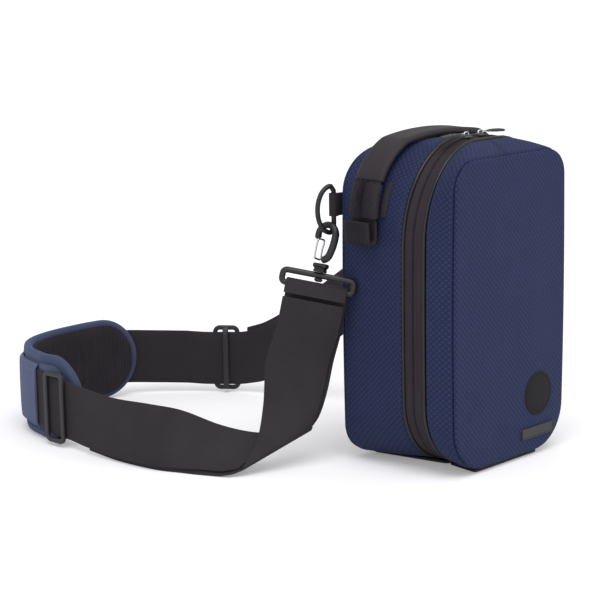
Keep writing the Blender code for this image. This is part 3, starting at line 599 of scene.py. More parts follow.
for side, way, body, edge in (("Rear", 1, "root", tapeRear), ("Front", -1, "lid", tapeFront)):
    low = side.lower()
    dress(tapeSkin("zipTape" + side, way), body, "black_fabric", "zip_tape_" + low)
    teeth = repeatAlong("zipTeeth" + side, [closedLine(zipY + way * 0.0009, 0.0004, True)],
                        zipper["toothSpacing"], zipper["tooth"], "zipTape", "MINIMUM")
    dress(teeth, body, "black_metal", "zip_coil_" + low)
    piping = sweep("piping" + side, outlineRing(edge + way * 0.0013, 0.0007), zipper["pipingRadius"] + 0.0001,
                   "piping", closed=True, sides=12, flat=1.15)
    dress(piping, body, "black_rubber", low + "_piping")
    lip = gussetRear if way > 0 else gussetFront
    stitches = repeatAlong("zipStitches" + side, [closedLine(lip + way * zipper["stitchOff"], -0.0001, True)],
                           zipper["stitchSpacing"], zipper["stitch"], "thread", "MINIMUM")
    dress(stitches, body, "navy_fabric")


def hingeSkin():
    z = shell["baseGap"] + 0.0024
    rows = []
    for y in between(tapeFront - 0.001, gussetRear - 0.0004, 24):
        dip = 0.0004 * math.sin(math.pi * (y - tapeFront) / (gussetRear - tapeFront))
        rows.append([Vector((-0.020, y, z)), Vector((0.020, y, z)), Vector((0.020, y, z + 0.0010 + dip)),
                     Vector((-0.020, y, z + 0.0010 + dip))])
    piece = loftPiece("hingeCloth", rows, "lining")
    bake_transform(piece)
    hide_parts("hinge_tape")


hingeSkin()

sliders = {"left": -0.0145, "right": 0.0040, "length": 0.0085, "width": 0.0084, "pullLength": 0.024}


def makeSlider(side, way):
    x = sliders[side]
    top = shell["height"] - 0.0010 + 0.0013
    lift = top + 0.0019
    rows = []
    for k in between(-1, 1, 9):
        half = sliders["width"] / 2 * math.sqrt(max(1 - 0.35 * k * k, 0)) * (0.72 if k * way > 0 else 1.0)
        high = 0.0006 + 0.0012 * (1 - k * k)
        section = [(-1, 0), (-0.9, 0.6), (-0.5, 1), (0, 1.1), (0.5, 1), (0.9, 0.6), (1, 0), (0.5, -0.1), (-0.5, -0.1)]
        rows.append([Vector((x + k * sliders["length"] / 2, zipY + half * a, top + 0.0004 + high * b))
                     for a, b in section])
    dress(loftPiece("zipSlider" + side.title(), rows, "darkSteel", sharp=50), "slider_" + side, "steel_wire",
          "zip_slider_" + side)
    bridge = [Vector((x - way * 0.0030, zipY, lift - 0.0006)), Vector((x - way * 0.0029, zipY, lift + 0.0014)),
              Vector((x - way * 0.0015, zipY, lift + 0.0021)), Vector((x + way * 0.0008, zipY, lift + 0.0021)),
              Vector((x + way * 0.0021, zipY, lift + 0.0014)), Vector((x + way * 0.0022, zipY, lift - 0.0006))]
    dress(sweep("zipBridge" + side.title(), smoothRow(bridge, 5), 0.0006, "steel", sides=10), "slider_" + side,
          "steel_wire", "zip_bridge_" + side)
    near = x + way * 0.0054
    rows = []
    for k in between(0, 1, 14):
        half = mix(0.0022, 0.0031, smooth(k * 1.6)) * math.sqrt(max(1 - max(k - 0.86, 0) ** 2 * 30, 0.2))
        high = mix(0.0006, 0.0011, smooth(k * 2)) * (0.75 if k in (0, 1) else 1)
        grip = 0.00018 * (1 if 0.35 < k < 0.9 and round(k * 13) % 2 else 0)
        section = [(-1, -0.5), (-1, 0.5), (-0.8, 0.9), (0, 1.0), (0.8, 0.9), (1, 0.5), (1, -0.5), (0.8, -0.9),
                   (0, -1.0),
                   (-0.8, -0.9)]
        rows.append([Vector((near + way * k * sliders["pullLength"], zipY + half * a,
                             lift + 0.0009 - 0.0010 * k * k + (high + grip) * b)) for a, b in section])
    dress(loftPiece("zipPull" + side.title(), rows, "rubber", sharp=40), "pull_" + side, "black_rubber",
          "zip_pull_" + side)
    ring = [Vector((near + way * (0.0004 - 0.0030 * math.cos(t)), zipY + 0.0017 * math.sin(t), lift + 0.0009))
            for t in [2 * math.pi * i / 18 for i in range(18)]]
    dress(sweep("pullRing" + side.title(), ring, 0.0005, "steel", closed=True, sides=8), "pull_" + side, "black_rubber")


makeSlider("left", -1)
makeSlider("right", 1)
print("zip made")


# ---- base panels, badge and label
basePlates = {
    "rear_base_panel": ("root", [(-0.036, zipY + 0.0007), (0.036, zipY + 0.0007), (0.048, 0.0638), (-0.048, 0.0638)]),
    "lid_base_panel": ("lid", [(-0.041, -0.0365), (0.041, -0.0365), (0.036, zipY - 0.0007), (-0.036, zipY - 0.0007)]),
}


def plateSkin(name, corners, low, high):
    points = []
    for i, corner in enumerate(corners):
        here = Vector(corner)
        ends = [here + (Vector(other) - here).normalized() * 0.004 for other in
                (corners[i - 1], corners[(i + 1) % len(corners)])]
        for k in (0, 0.25, 0.5, 0.75, 1):
            points.append(ends[0].lerp(here, k).lerp(here.lerp(ends[1], k), k))
    centre = Vector((sum(p.x for p in points), sum(p.y for p in points))) / len(points)
    rows = []
    for inset, z in ((0.4, low), (0.05, low), (0.012, low + 0.0002), (0, low + 0.0006), (0, high - 0.0006),
                     (0.01, high),
                     (0.4, high)):
        rows.append([Vector((*p.lerp(centre, inset), z)) for p in points])
    return loftPiece(name, rows, "baseCloth", sharp=50)


for node, (body, corners) in basePlates.items():
    dress(plateSkin(node.split("_")[0] + "BaseCloth", corners, 0.0, shell["baseGap"] - 0.0003), body, "black_fabric",
          node)

marks = {"badgeSpot": (0.0340, 0.0514), "badgeRadius": 0.0180, "labelSpot": (0.0345, 0.0200),
         "labelSize": (0.0430, 0.0092)}


def makeMarks():
    x, z = marks["badgeSpot"]
    face = shell["frontY"] - 0.0006
    turn = Matrix.Translation((x, face, z)) @ Matrix.Rotation(math.radians(90), 4, "X")
    r = marks["badgeRadius"]
    profile = [(0.002, -0.0006), (r - 0.0004, -0.0006), (r, 0.0004), (r - 0.0002, 0.0009), (r - 0.0010, 0.0012),
               (r - 0.0022, 0.0011), (r - 0.0026, 0.0008), (r - 0.0032, 0.0011), (r * 0.5, 0.0012), (0.002, 0.0012)]
    badge = lathe("roundBadge", profile, turn, "patch", 64)
    layer = badge.data.uv_layers["cloth"].data
    for loop in badge.data.loops:
        spot = badge.data.vertices[loop.vertex_index].co
        layer[loop.index].uv = (spot.x, spot.z)
    dress(badge, "lid", "black_fabric", "badge")
    x, z = marks["labelSpot"]
    w, h = (size / 2 for size in marks["labelSize"])
    rows = []
    for inset, y in ((0.0030, 0.0004), (0, 0.0004), (0, -0.0009), (0.0003, -0.0014), (0.0009, -0.0014),
                     (0.0012, -0.0008),
                     (0.0030, -0.0008)):
        rows.append([])
        for sx, sz, start in ((1, 1, 0), (-1, 1, 90), (-1, -1, 180), (1, -1, 270)):
            for i in range(5):
                t = math.radians(start + 22.5 * i)
                r = max(0.0012 - inset, 0.0002)
                rows[-1].append(Vector((x + sx * (w - inset - r) + r * math.cos(t), face + y,
                                        z + sz * (h - inset - r) + r * math.sin(t))))
    dress(loftPiece("rubberLabel", rows, "rubber", sharp=50), "lid", "black_rubber", "label")


makeMarks()
print("base, badge and label made")


# ---- flat bands of webbing
def flatSection(half, thick, steps=8):
    # closed rounded section: pairs across the width and out of it
    edge = [(half - thick + thick * math.cos(t), thick * math.sin(t)) for t in
            [math.radians(a) for a in (90, 45, 0, -45, -90)]]
    top = [(mix(-half + thick, half - thick, i / steps), thick) for i in range(1, steps)]
    return top + edge + [(-a, -b) for a, b in top] + [(-a, -b) for a, b in edge]


def bandPiece(name, row, width, thickness, finish, cup=0.0):
    # the band's width runs along Y, as on the handle
    section = flatSection(width / 2, thickness / 2)
    rows = []
    for i, point in enumerate(row):
        run = (row[min(i + 1, len(row) - 1)] - row[max(i - 1, 0)]).normalized()
        out = Vector((run.z, 0, -run.x))
        rows.append([point + Vector((0, a, 0)) + out * (b + cup * (1 - (2 * a / width) ** 2)) for a, b in section])
    return loftPiece(name, rows, finish, sharp=60)


handle = {"y": 0.040, "width": 0.025, "thickness": 0.0022, "riseSide": 0.0042, "riseTop": 0.0055, "keeperWidth": 0.0275,
          "keeperLow": 0.2015, "keeperHigh": 0.2270, "keeperWall": 0.0012, "stopTravel": 0.0028, "stopHeight": 0.0175,
          "stopReach": 0.0085, "gripAngle": 62.0, "ribSpacing": 0.0015}


def handlePoint(angle):
    k = (handle["y"] - gussetRear) / (shell["backY"] - gussetRear)
    across = mix(shell["zipCorners"][0], shell["backCorners"][0], k)
    along = mix(shell["zipCorners"][1], shell["backCorners"][1], k)
    top = shell["height"] - shell["backDrop"] * k
    t = math.radians(angle)
    x = (shell["halfWidth"] + shell["bulge"] - across) * min(abs(angle) / 20, 1) * math.copysign(1, angle)
    x += (across + handle["riseSide"]) * math.sin(t)
    return Vector((x, handle["y"], top - along + (along + handle["riseTop"]) * math.cos(t)))


def handleAt(side, z):
    low, high = handlePoint(90).z, handlePoint(0).z
    if z <= low:
        return Vector((side * handlePoint(90).x, handle["y"], z))
    return handlePoint(side * math.degrees(math.acos((z - low) / (high - low))))


def ribLines(row, off):
    # ribs lie across the band on its outer face
    line = []
    for i, point in enumerate(row):
        run = (row[min(i + 1, len(row) - 1)] - row[max(i - 1, 0)]).normalized()
        line.append(point + Vector((run.z, 0, -run.x)) * off)
    return line


def makeHandle():
    stopTop = handle["keeperLow"] - handle["stopTravel"]
    arch = [handlePoint(a) for a in between(-90, 90, 121)]
    x = handlePoint(90).x
    low = [Vector((-x, handle["y"], z)) for z in between(stopTop + 0.0003, arch[0].z - 0.0006, 6)]
    row = low + arch + [Vector((-p.x, p.y, p.z)) for p in reversed(low)]
    dress(bandPiece("handleBand", row, handle["width"], handle["thickness"], "handleTape"), "handle", "black_webbing",
          "handle_webbing")
    gripRow = [handlePoint(a) for a in between(-handle["gripAngle"], handle["gripAngle"], 81)]
    rows = []
    for i, point in enumerate(gripRow):
        k = abs(2 * i / (len(gripRow) - 1) - 1)
        run = (gripRow[min(i + 1, 80)] - gripRow[max(i - 1, 0)]).normalized()
        out = Vector((run.z, 0, -run.x))
        taper = math.sqrt(max(1 - max(k - 0.93, 0) * 9, 0.30))
        half, thick = 0.0139, 0.0025 * taper + 0.0003
        rows.append([point + Vector((0, a, 0)) + out * (b + 0.0006 * (1 - (a / half) ** 2) * (1 - k))
                     for a, b in flatSection(half, thick, 10)])
    dress(loftPiece("handleGrip", rows, "gripCloth", sharp=60), "handle", "black_rubber", "handle_grip")
    ribs = []
    for side, name in ((-1, "left"), (1, "right")):
        inner = [handlePoint(side * a) for a in between(90, handle["gripAngle"] + 1, 16)]
        ribs.append(ribLines(inner, handle["thickness"] / 2 * (1 if side < 0 else -1)))
        tall = stopTop - handle["stopHeight"] + 0.004
        fold = [Vector((side * x, handle["y"], z)) for z in between(stopTop, tall, 5)]
        reach = handle["stopReach"]
        for i in range(1, 8):
            t = math.pi * i / 8
            fold.append(Vector((side * (x + reach / 2 * (1 - math.cos(t))), handle["y"], tall - 0.004 * math.sin(t))))
        fold += [Vector((side * (x + reach + 0.0012 * smooth(k * k)), handle["y"], mix(tall, stopTop, k)))
                 for k in (0, 0.25, 0.5, 0.75, 1)]
        fold = smoothRow(fold, 3)
        dress(bandPiece("handleStop" + name.title(), fold, handle["width"] + 0.001, handle["thickness"] + 0.0006,
                        "handleTape"), "handle", "black_webbing", "handle_stop_" + name)
        folded = ribLines(fold, (handle["thickness"] / 2 + 0.0003) * side)
        ribs.append(folded)
        makeKeeper(name, side)
    made = repeatAlong("handleRibs", ribs, handle["ribSpacing"], (0.0009, handle["width"] * 0.985, 0.0011),
                       "handleTape", "MINIMUM")
    dress(made, "handle", "black_webbing")


def makeKeeper(name, side):
    row = [handleAt(side, z) + Vector((side * 0.0003, 0, 0)) for z in
           between(handle["keeperLow"], handle["keeperHigh"], 26)]
    wall = handle["keeperWall"]
    width, thick = handle["keeperWidth"] - 2 * wall + 0.0012, handle["thickness"] + 0.0022
    rows = []
    for grow, line in ((wall, row), (0, list(reversed(row)))):
        section = flatSection(width / 2 + grow, thick / 2 + grow, 8)
        for i, point in enumerate(line):
            run = (row[min(row.index(point) + 1, len(row) - 1)] - row[max(row.index(point) - 1, 0)]).normalized()
            out = Vector((run.z, 0, -run.x))
            rows.append([point + Vector((0, a, 0)) + out * b for a, b in section])
    dress(loftPiece("handleKeeper" + name.title(), rows, "handleTape", loop=True, sharp=50), "root", "black_webbing",
          "handle_keeper_" + name)
    face = ribLines(row[4:-1], (thick / 2 + wall) * side)
    ribs = repeatAlong("keeperRibs" + name.title(), [face], handle["ribSpacing"],
                       (0.0008, handle["keeperWidth"] * 0.9, 0.0011), "handleTape", "MINIMUM")
    dress(ribs, "root", "black_webbing")
    # sewn flange on the front side, lying on the case
    rows = []
    for z in between(handle["keeperLow"] + 0.001, handle["keeperHigh"] + 0.001, 10):
        front = handle["y"] - width / 2 - wall
        spots = [(front + 0.0014, 0.0002), (front + 0.0010, 0.0022), (front - 0.0035, 0.0022), (front - 0.0041, 0.0016),
                 (front - 0.0041, 0.0004), (front - 0.0037, 0.0001)]
        rows.append([Vector((side * (surfaceX(y, z) + off), y, z)) for y, off in spots])
    dress(loftPiece("keeperFlange" + name.title(), rows, "handleTape", sharp=50), "root", "black_webbing")


finishes["gripCloth"] = makeWoven("blackNeopreneCloth", "352F35", "262127", (0.0011, 0.0011), "MULTIPLY",
                                  0.62, 0.25, 0.18)
makeHandle()
print("handle made")


# ---- rings, tabs and snap hooks
hardware = {"ringWire": 0.0020, "ringHalf": 0.0185, "ringDepth": 0.0165, "ringLow": 0.1860, "ringStraight": 0.0030,
            "hookWire": 0.0028, "hookRadius": 0.0085, "hookLength": 0.0300, "frameWire": 0.0023, "frameHalf": 0.0290,
            "framePitch": 0.0100, "frameCorner": 0.0034, "gateWire": 0.0008,
            "pinHead": 0.0035}
ringSwing = {-1: 172.0, 1: 75.0}
hookOnBow = {-1: -75.0, 1: -57.0}
hookSlack = {-1: 12.0, 1: -10.0}
hookAim = {-1: ((0.290, -0.010, 0.957), (0.494, -0.833, -0.250)), 1: ((0.120, -0.660, 0.740), (-0.150, 0.450, 0.880))}
ringX = shell["halfWidth"] + shell["bulge"] + 0.0015
ringY = shell["backY"] + 0.0045
crown = hardware["ringWire"] + hardware["hookWire"] + 0.0010
baseTop = crown - hardware["hookRadius"] - hardware["hookLength"] * 0.62
collarLow = baseTop - 0.0110
barZ = collarLow - hardware["frameWire"] - 0.0003


def ringCentre(side):
    return Vector((side * ringX, ringY, hardware["ringLow"] + hardware["ringHalf"]))


def ringBow(side, angle):
    t, heading = math.radians(angle), math.radians(ringSwing[side])
    reach = hardware["ringStraight"] + (hardware["ringDepth"] - hardware["ringStraight"]) * math.cos(t)
    out = Vector((math.cos(heading), math.sin(heading), 0))
    return ringCentre(side) + out * reach + Vector((0, 0, hardware["ringHalf"] * math.sin(t)))


def axesAt(origin, x, y, z):
    matrix = Matrix((x, y, z)).transposed().to_4x4()
    matrix.translation = origin
    return matrix


def hookPlace(side):
    z = Vector(hookAim[side][0]).normalized()
    x = Vector(hookAim[side][1])
    x = (x - z * x.dot(z)).normalized()
    return axesAt(ringBow(side, hookOnBow[side]), x, z.cross(x), z)


def hookSpin(side):
    place = hookPlace(side)
    z = place.col[2].to_3d()
    wire = ringBow(side, hookOnBow[side] + 1) - ringBow(side, hookOnBow[side] - 1)
    y = Matrix.Rotation(math.radians(hookSlack[side]), 3, z) @ (wire - z * wire.dot(z)).normalized()
    if y.dot(place.col[1].to_3d()) < 0:
        y = -y
    return axesAt(place.translation, y.cross(z), y, z)


def makeTab(name, side):
    hole, skin = hardware["ringWire"] + 0.0004, 0.0014
    low, high = hardware["ringLow"] + 0.013, hardware["ringLow"] + 2 * hardware["ringHalf"] - 0.006
    root = Vector((side * (shell["halfWidth"] - 0.014), shell["backY"] + 0.0003 + skin / 2, 0))
    pivot = Vector((side * ringX, ringY, 0))
    ahead = (root - pivot).normalized()
    across = Vector((-ahead.y, ahead.x, 0))
    count = 40
    spokes = [ahead * math.cos(2 * math.pi * i / count) + across * math.sin(2 * math.pi * i / count)
              for i in range(count)]
    inner = [pivot + spoke * hole for spoke in spokes]
    outer = [pivot + spoke * (hole + skin) for spoke in spokes]
    for i, k in ((0, 1.0), (1, 0.5), (count - 1, 0.5)):
        outer[i] = outer[i].lerp(root, k)
    rows = [[p + Vector((0, 0, z)) for p in row] for row, z in
            [(outer, z) for z in between(low, high, 9)] + [(inner, high), (inner, low)]]
    dress(loftPiece("ringTab" + name.title(), rows, "webbing", loop=True, sharp=45), "root", "black_webbing",
          "ring_tab_" + name)


def makeHook(name, side):
    place, spin = hookPlace(side), hookSpin(side)
    r, wire = hardware["hookRadius"], hardware["hookWire"]
    centre = crown - r
    points = [Vector((0.0005, 0, baseTop - 0.0015)), Vector((r * 0.62, 0, baseTop + 0.002)),
              Vector((r * 0.92, 0, mix(baseTop, centre, 0.55)))]
    points += [Vector((r * math.cos(math.radians(a)), 0, centre + r * math.sin(math.radians(a))))
               for a in between(0, 205, 11)]
    line = smoothRow(points, 5)
    count = len(line)
    radii = [wire * (1.08 - 0.14 * smooth(i / count * 1.3)) for i in range(count)]
    for i in range(5):
        radii[-1 - i] *= (0.55, 0.85, 0.98, 1.06, 1.04)[i]
        radii[i] *= (0.80, 0.92, 1, 1, 1)[i]
    dress(sweep("hook" + name.title(), [spin @ p for p in line], radii, "enamel", sides=18,
                up=spin.col[1].to_3d()), "hook_" + name, "black_metal", "hook_" + name)
    blockTop, blockLow = baseTop - 0.0015 - wire - 0.0003, collarLow + 0.0034
    dress(roundedBox("hookBase" + name.title(), (-0.0066, -0.0032, blockLow), (0.0062, 0.0032, blockTop + 0.0006),
                     "enamel", 0.0013, spin), "hook_" + name, "black_metal", "hook_base_" + name)
    top = blockLow + 0.0002
    profile = [(0.0020, collarLow), (0.0049, collarLow), (0.0056, collarLow + 0.0007), (0.0056, collarLow + 0.0016),
               (0.0050, collarLow + 0.0020), (0.0050, collarLow + 0.0024), (0.0055, collarLow + 0.0028),
               (0.0055, top - 0.0004), (0.0050, top), (0.0020, top)]
    dress(lathe("hookCollar" + name.title(), profile, spin, "enamel"), "hook_" + name, "black_metal",
          "hook_collar_" + name)
    gateWire = hardware["gateWire"]
    low = Vector((-0.0050, 0, baseTop - 0.0004))
    high = Vector((gateWire + wire - r + 0.0004, 0, crown - r - 0.0045))
    reach = Vector((0, wire + gateWire + 0.0004, 0))
    bend = Vector((-0.0004, 0, 0))
    loop = [low - reach, low.lerp(high, 0.5) - reach + bend, high - reach, high + Vector((-0.0004, 0, 0.0008)),
            high + reach, low.lerp(high, 0.5) + reach + bend, low + reach, low + Vector((0, 0, -0.0006))]
    closed = smoothRow(loop + loop[:1], 5)[:-1]
    dress(sweep("gate" + name.title(), [spin @ p for p in closed], gateWire, "steel", closed=True, sides=10),
          "gate_" + name, "steel_wire", "gate_" + name)
    half, pitch, corner = hardware["frameHalf"], hardware["framePitch"], hardware["frameCorner"]
    slot = []
    for sx, sz, start in ((1, 1, 90), (1, -1, 0), (-1, -1, -90), (-1, 1, -180)):
        middle = Vector((sx * (half - corner), 0, barZ - pitch / 2 + sz * (pitch / 2 - corner)))
        slot += [middle + corner * Vector((math.cos(math.radians(start - a)), 0, math.sin(math.radians(start - a))))
                 for a in between(0, 90, 8)]
        if sx == 1 and sz == -1 or sx == -1 and sz == 1:
            far = Vector((-sx * (half - corner), 0, slot[-1].z))
            slot += [slot[-1].lerp(far, k) for k in (0.2, 0.4, 0.6, 0.8)]
    dress(sweep("strapFrame" + name.title(), [place @ p for p in slot], hardware["frameWire"] + 0.0002, "enamel",
                closed=True, sides=14, up=place.col[1].to_3d()), "root", "black_metal", "strap_frame_" + name)
    low = barZ - hardware["frameWire"]
    pin = hardware["pinHead"]
    profile = [(0.0006, low - 0.0030), (pin * 0.6, low - 0.0028), (pin * 0.95, low - 0.0018), (pin, low - 0.0010),
               (pin * 0.8, low - 0.0003), (pin * 0.5, low + 0.0006), (0.0006, low + 0.0008)]
    dress(lathe("swivelPin" + name.title(), profile, place, "enamel", 24), "root", "black_metal", "swivel_pin_" + name)


for sideName, sideWay in (("left", -1), ("right", 1)):
    bar = hardware["ringHalf"] - 0.004
    dee = [ringCentre(sideWay) + Vector((0, 0, z)) for z in between(-bar, bar, 9)]
    dee += [ringBow(sideWay, a) for a in between(90, -90, 41)]
    dress(sweep("ring" + sideName.title(), dee, hardware["ringWire"], "enamel", closed=True, sides=16,
                up=Vector((0, 0, 1)).cross(ringBow(sideWay, 0) - ringCentre(sideWay)).normalized()),
          "ring_" + sideName, "black_metal", "ring_" + sideName)
    makeTab(sideName, sideWay)
    makeHook(sideName, sideWay)
print("rings and hooks made")


# ---- shoulder strap
strap = {"width": 0.050, "thickness": 0.0016, "layerGap": 0.0026, "headDrop": 0.0080, "returnShift": 0.0032}
barRadius = hardware["frameWire"] + 0.0004 + strap["thickness"] / 2


def edgePair(left, right):
    return Vector(left) * mm, Vector(right) * mm


def upright(x, y, middle):
    half = strap["width"] / 2
    return Vector((x * mm, y * mm, middle * mm - half)), Vector((x * mm, y * mm, middle * mm + half))


nearRoute = [edgePair(*row) for row in (
    ((-118, 101, 112), (-89, 61, 106)), ((-125, 105, 84), (-91, 67, 84)), ((-130, 104, 50), (-96, 69, 62)),
    ((-142, 100, 25), (-101, 71, 46)), ((-159, 97, 11), (-105, 74, 36)), ((-170, 99, 7), (-108, 80, 31)),
    ((-176, 105, 5), (-117, 94, 27)), ((-179, 112, 4), (-134, 112, 26)), ((-184, 123, 4), (-152, 134, 32)),
    ((-191, 140, 3), (-174, 156, 45)), ((-201, 166, 3), (-198, 169, 53)))]
nearRoute += [upright(-204, 205, 28), upright(-204, 240, 30), upright(-203, 262, 32)]
middleRoute = [upright(*row) for row in (
    (-203, 262, 32), (-203, 285, 33), (-199, 310, 36), (-190, 338, 37), (-171, 361, 37), (-144, 373, 37),
    (-112, 377, 37), (-80, 376, 37), (-52, 368, 36), (-27, 352, 34), (-5.8, 330.8, 33))]
farRoute = [edgePair((62, 178, 74), (58, 194, 121)), edgePair((48, 220, 40), (45, 231, 89)),
            edgePair((37, 260, 16), (36, 266, 66)), upright(28, 286, 33), upright(17, 302, 32), upright(5, 317, 32),
            upright(-5.8, 330.8, 33)]


def ribbon(name, stations, steps, offsets=None, shift=0.0):
    left = smoothRow([s[0] for s in stations], steps)
    right = smoothRow([s[1] for s in stations], steps)
    section = flatSection(strap["width"] / 2, strap["thickness"] / 2, 8)
    rows, length = [], 0.0
    for i, (a, b) in enumerate(zip(left, right)):
        before, after = max(i - 1, 0), min(i + 1, len(left) - 1)
        run = (left[after] + right[after]) - (left[before] + right[before])
        width = (b - a).normalized()
        out = width.cross(run).normalized()
        off = 0.0
        if offsets:
            spot = min(i / steps, len(offsets) - 1)
            base = min(int(spot), len(offsets) - 2)
            off = mix(offsets[base], offsets[base + 1], spot - base)
        slide = shift * min(i / (2 * steps), 1)
        centre = (a + b) / 2 + out * off - width * slide
        reach = (b - a).length / strap["width"]
        rows.append([centre + width * s * reach + out * t for s, t in section])
        if i:
            length += (rows[-1][0] - rows[-2][0]).length / 2 + (rows[-1][12] - rows[-2][12]).length / 2
    piece = loftPiece(name, rows, "webbing", sharp=70)
    return piece, length


def strapHead(side):
    bar = barZ - hardware["framePitch"]
    half = strap["width"] / 2
    rows = [(-barRadius, bar - strap["headDrop"])]
    rows += [(-barRadius * math.cos(math.pi * i / 6), bar + barRadius * math.sin(math.pi * i / 6)) for i in range(7)]
    rows.append((barRadius, bar - strap["headDrop"]))
    place = hookPlace(side)
    return [(place @ Vector((-half, -side * y, z)), place @ Vector((half, -side * y, z))) for y, z in rows]


def declareStrap(piece, length, node):
    dress(piece, "root", "black_webbing", node)
    print(node, "webbing length", round(length, 3))


def makeLayers(name, side, route, returnCount):
    head = strapHead(side)
    stations = head + route
    drop = hookPlace(side).col[2].to_3d() * 0.0018
    start = (head[-1][0] - drop, head[-1][1] - drop)
    gap = strap["layerGap"]
    back = [start] + route[:returnCount]
    if side > 0:
        stations = stations[::-1]
    piece, length = ribbon("strap" + name, stations, 8)
    declareStrap(piece, length, "strap_" + name.lower())
    piece, length = ribbon("strap" + name + "Return", back, 8, [-2 * barRadius, -0.0050, -gap, -gap],
                           strap["returnShift"] * -side)
    declareStrap(piece, length, "strap_" + name.lower() + "_return")


makeLayers("Near", -1, nearRoute, -1)
makeLayers("Far", 1, farRoute, 4)
middlePiece, middleLength = ribbon("strapMiddle", middleRoute, 10)
declareStrap(middlePiece, middleLength, "strap_middle")
print("strap made")

adjuster = {"length": 0.0250, "height": 0.0610, "thickness": 0.0030, "rim": 0.0042, "bar": 0.0052, "corner": 0.0065}


def sweepSection(name, points, section, finish, closed, up, sharp=50):
    # section pairs: along up, and across the run
    rows = []
    for point, (_, a, b) in zip(points, frames(points, closed, up)):
        rows.append([point + a * s + b * t for s, t in section])
    return loftPiece(name, rows, finish, loop=closed, sharp=sharp)


def softCorner(halfA, halfB, round_):
    spots = []
    for sa, sb, start in ((1, 1, 0), (-1, 1, 90), (-1, -1, 180), (1, -1, 270)):
        for i in range(4):
            t = math.radians(start + 30 * i)
            spots.append((sa * (halfA - round_) + round_ * math.cos(t), sb * (halfB - round_) + round_ * math.sin(t)))
    return spots


def joinPieces(name, pieces):
    bm = bmesh.new()
    for piece in pieces:
        bm.from_mesh(piece.data)
    material = pieces[0].data.materials[0].name
    for piece in pieces:
        bpy.data.objects.remove(piece, do_unlink=True)
    finish = next(key for key, value in finishes.items() if value.name == material)
    return finishMesh(name, bm, finish, 50)


def makeAdjuster(name, spot, run):
    up, run = Vector((0, 0, 1)), Vector(run).normalized()
    place = axesAt(Vector(spot) * mm, run, up.cross(run), up)
    near = strap["thickness"] / 2 + 0.0006
    middle = near + adjuster["thickness"] / 2
    rim = adjuster["rim"]
    halfX, halfZ = adjuster["length"] / 2 - rim / 2, adjuster["height"] / 2 - rim / 2
    corner = adjuster["corner"] - rim / 2
    path = []
    for sx, sz, start in ((1, 1, 0), (-1, 1, 90), (-1, -1, 180), (1, -1, 270)):
        for i in range(8):
            t = math.radians(start + 90 / 7 * i)
            path.append(Vector((sx * (halfX - corner) + corner * math.cos(t), middle,
                                sz * (halfZ - corner) + corner * math.sin(t))))
    window = sweepSection("window", [place @ p for p in path],
                          softCorner(adjuster["thickness"] / 2, rim / 2, 0.0009), "acetal", True,
                          place.col[1].to_3d())
    legs = adjuster["height"] / 2 - rim / 2
    bridge = [Vector((0, middle, -legs)), Vector((0, 0, -legs)), Vector((0, -middle, -legs + 0.001)),
              Vector((0, -middle, 0)), Vector((0, -middle, legs - 0.001)), Vector((0, 0, legs)),
              Vector((0, middle, legs))]
    line = []
    for a, b in zip(bridge, bridge[1:]):
        line += [a.lerp(b, k) for k in (0, 0.25, 0.5, 0.75)]
    line.append(bridge[-1])
    bar = sweepSection("bar", [place @ p for p in line], softCorner(adjuster["bar"] / 2, 0.0014, 0.0008), "acetal",
                       False, place.col[0].to_3d())
    made = joinPieces("adjuster" + name.title(), [window, bar])
    dress(made, "adjuster_" + name, "black_metal", "adjuster_" + name)


makeAdjuster("near", (-203, 279, 33), (0, 1, 0))
makeAdjuster("far", (17, 302, 32), (0.60, -0.80, 0))
print("adjusters made")


# ---- shoulder pad
pad = {"thickness": 0.0070, "height": 0.0740, "sleeveWall": 0.0012, "sleeveHeight": 0.0600,
       "start": 0.006, "endTrim": 0.048, "ribPitch": 0.0030, "ribHeight": 0.0010, "crown": 0.0010}
coreGap = strap["thickness"] / 2 + 0.0005


def walkPad():
    line = [Vector(((a.x + b.x) / 2, (a.y + b.y) / 2, 0)) for a, b in middleRoute]
    line[0].y -= pad["start"]
    row = smoothRow(line, 24)
    run = [0.0]
    for a, b in zip(row, row[1:]):
        run.append(run[-1] + (b - a).length)
    return row, run


padRow, padRun = walkPad()
padLength = padRun[-1] - pad["endTrim"]


def padPoint(distance, off, z):
    off -= 0.0040 * (1 - smooth((distance - 0.030) / 0.020))
    distance = min(max(distance, 0.0), padRun[-1] - 0.0001)
    i = 0
    while i < len(padRun) - 2 and padRun[i + 1] < distance:
        i += 1
    k = (distance - padRun[i]) / (padRun[i + 1] - padRun[i])
    spot = padRow[i].lerp(padRow[i + 1], k)
    ahead = padRow[min(i + 4, len(padRow) - 1)] - padRow[max(i - 3, 0)]
    out = Vector((-ahead.y, ahead.x, 0)).normalized()
    return spot + out * off + Vector((0, 0, z))


def tipRound(distance, half, length):
    near = min(distance, length - distance)
    return half * math.sqrt(max(1 - max(1 - near / half, 0) ** 2, 0.0))


def padLayer(name, steps, faces, half, finish, start, length):
    # faces gives the layer's two sides off the webbing for a place along and a share of its height
    rows = []
    middle = pad["height"] / 2 + 0.0003
    for i in range(steps + 1):
        share = (1 - math.cos(math.pi * i / steps)) / 2 if steps < 100 else i / steps
        distance = mix(0.0012, length - 0.0012, share)
        high = tipRound(distance, half, length)
        spots = between(-1, 1, 15)
        near = [padPoint(start + distance, faces(start + distance, s)[0], middle + high * s) for s in spots]
        far = [padPoint(start + distance, faces(start + distance, s)[1], middle + high * s) for s in reversed(spots)]
        rows.append(near + far)
    return loftPiece(name, rows, finish, sharp=60, reference=len(rows) // 2)


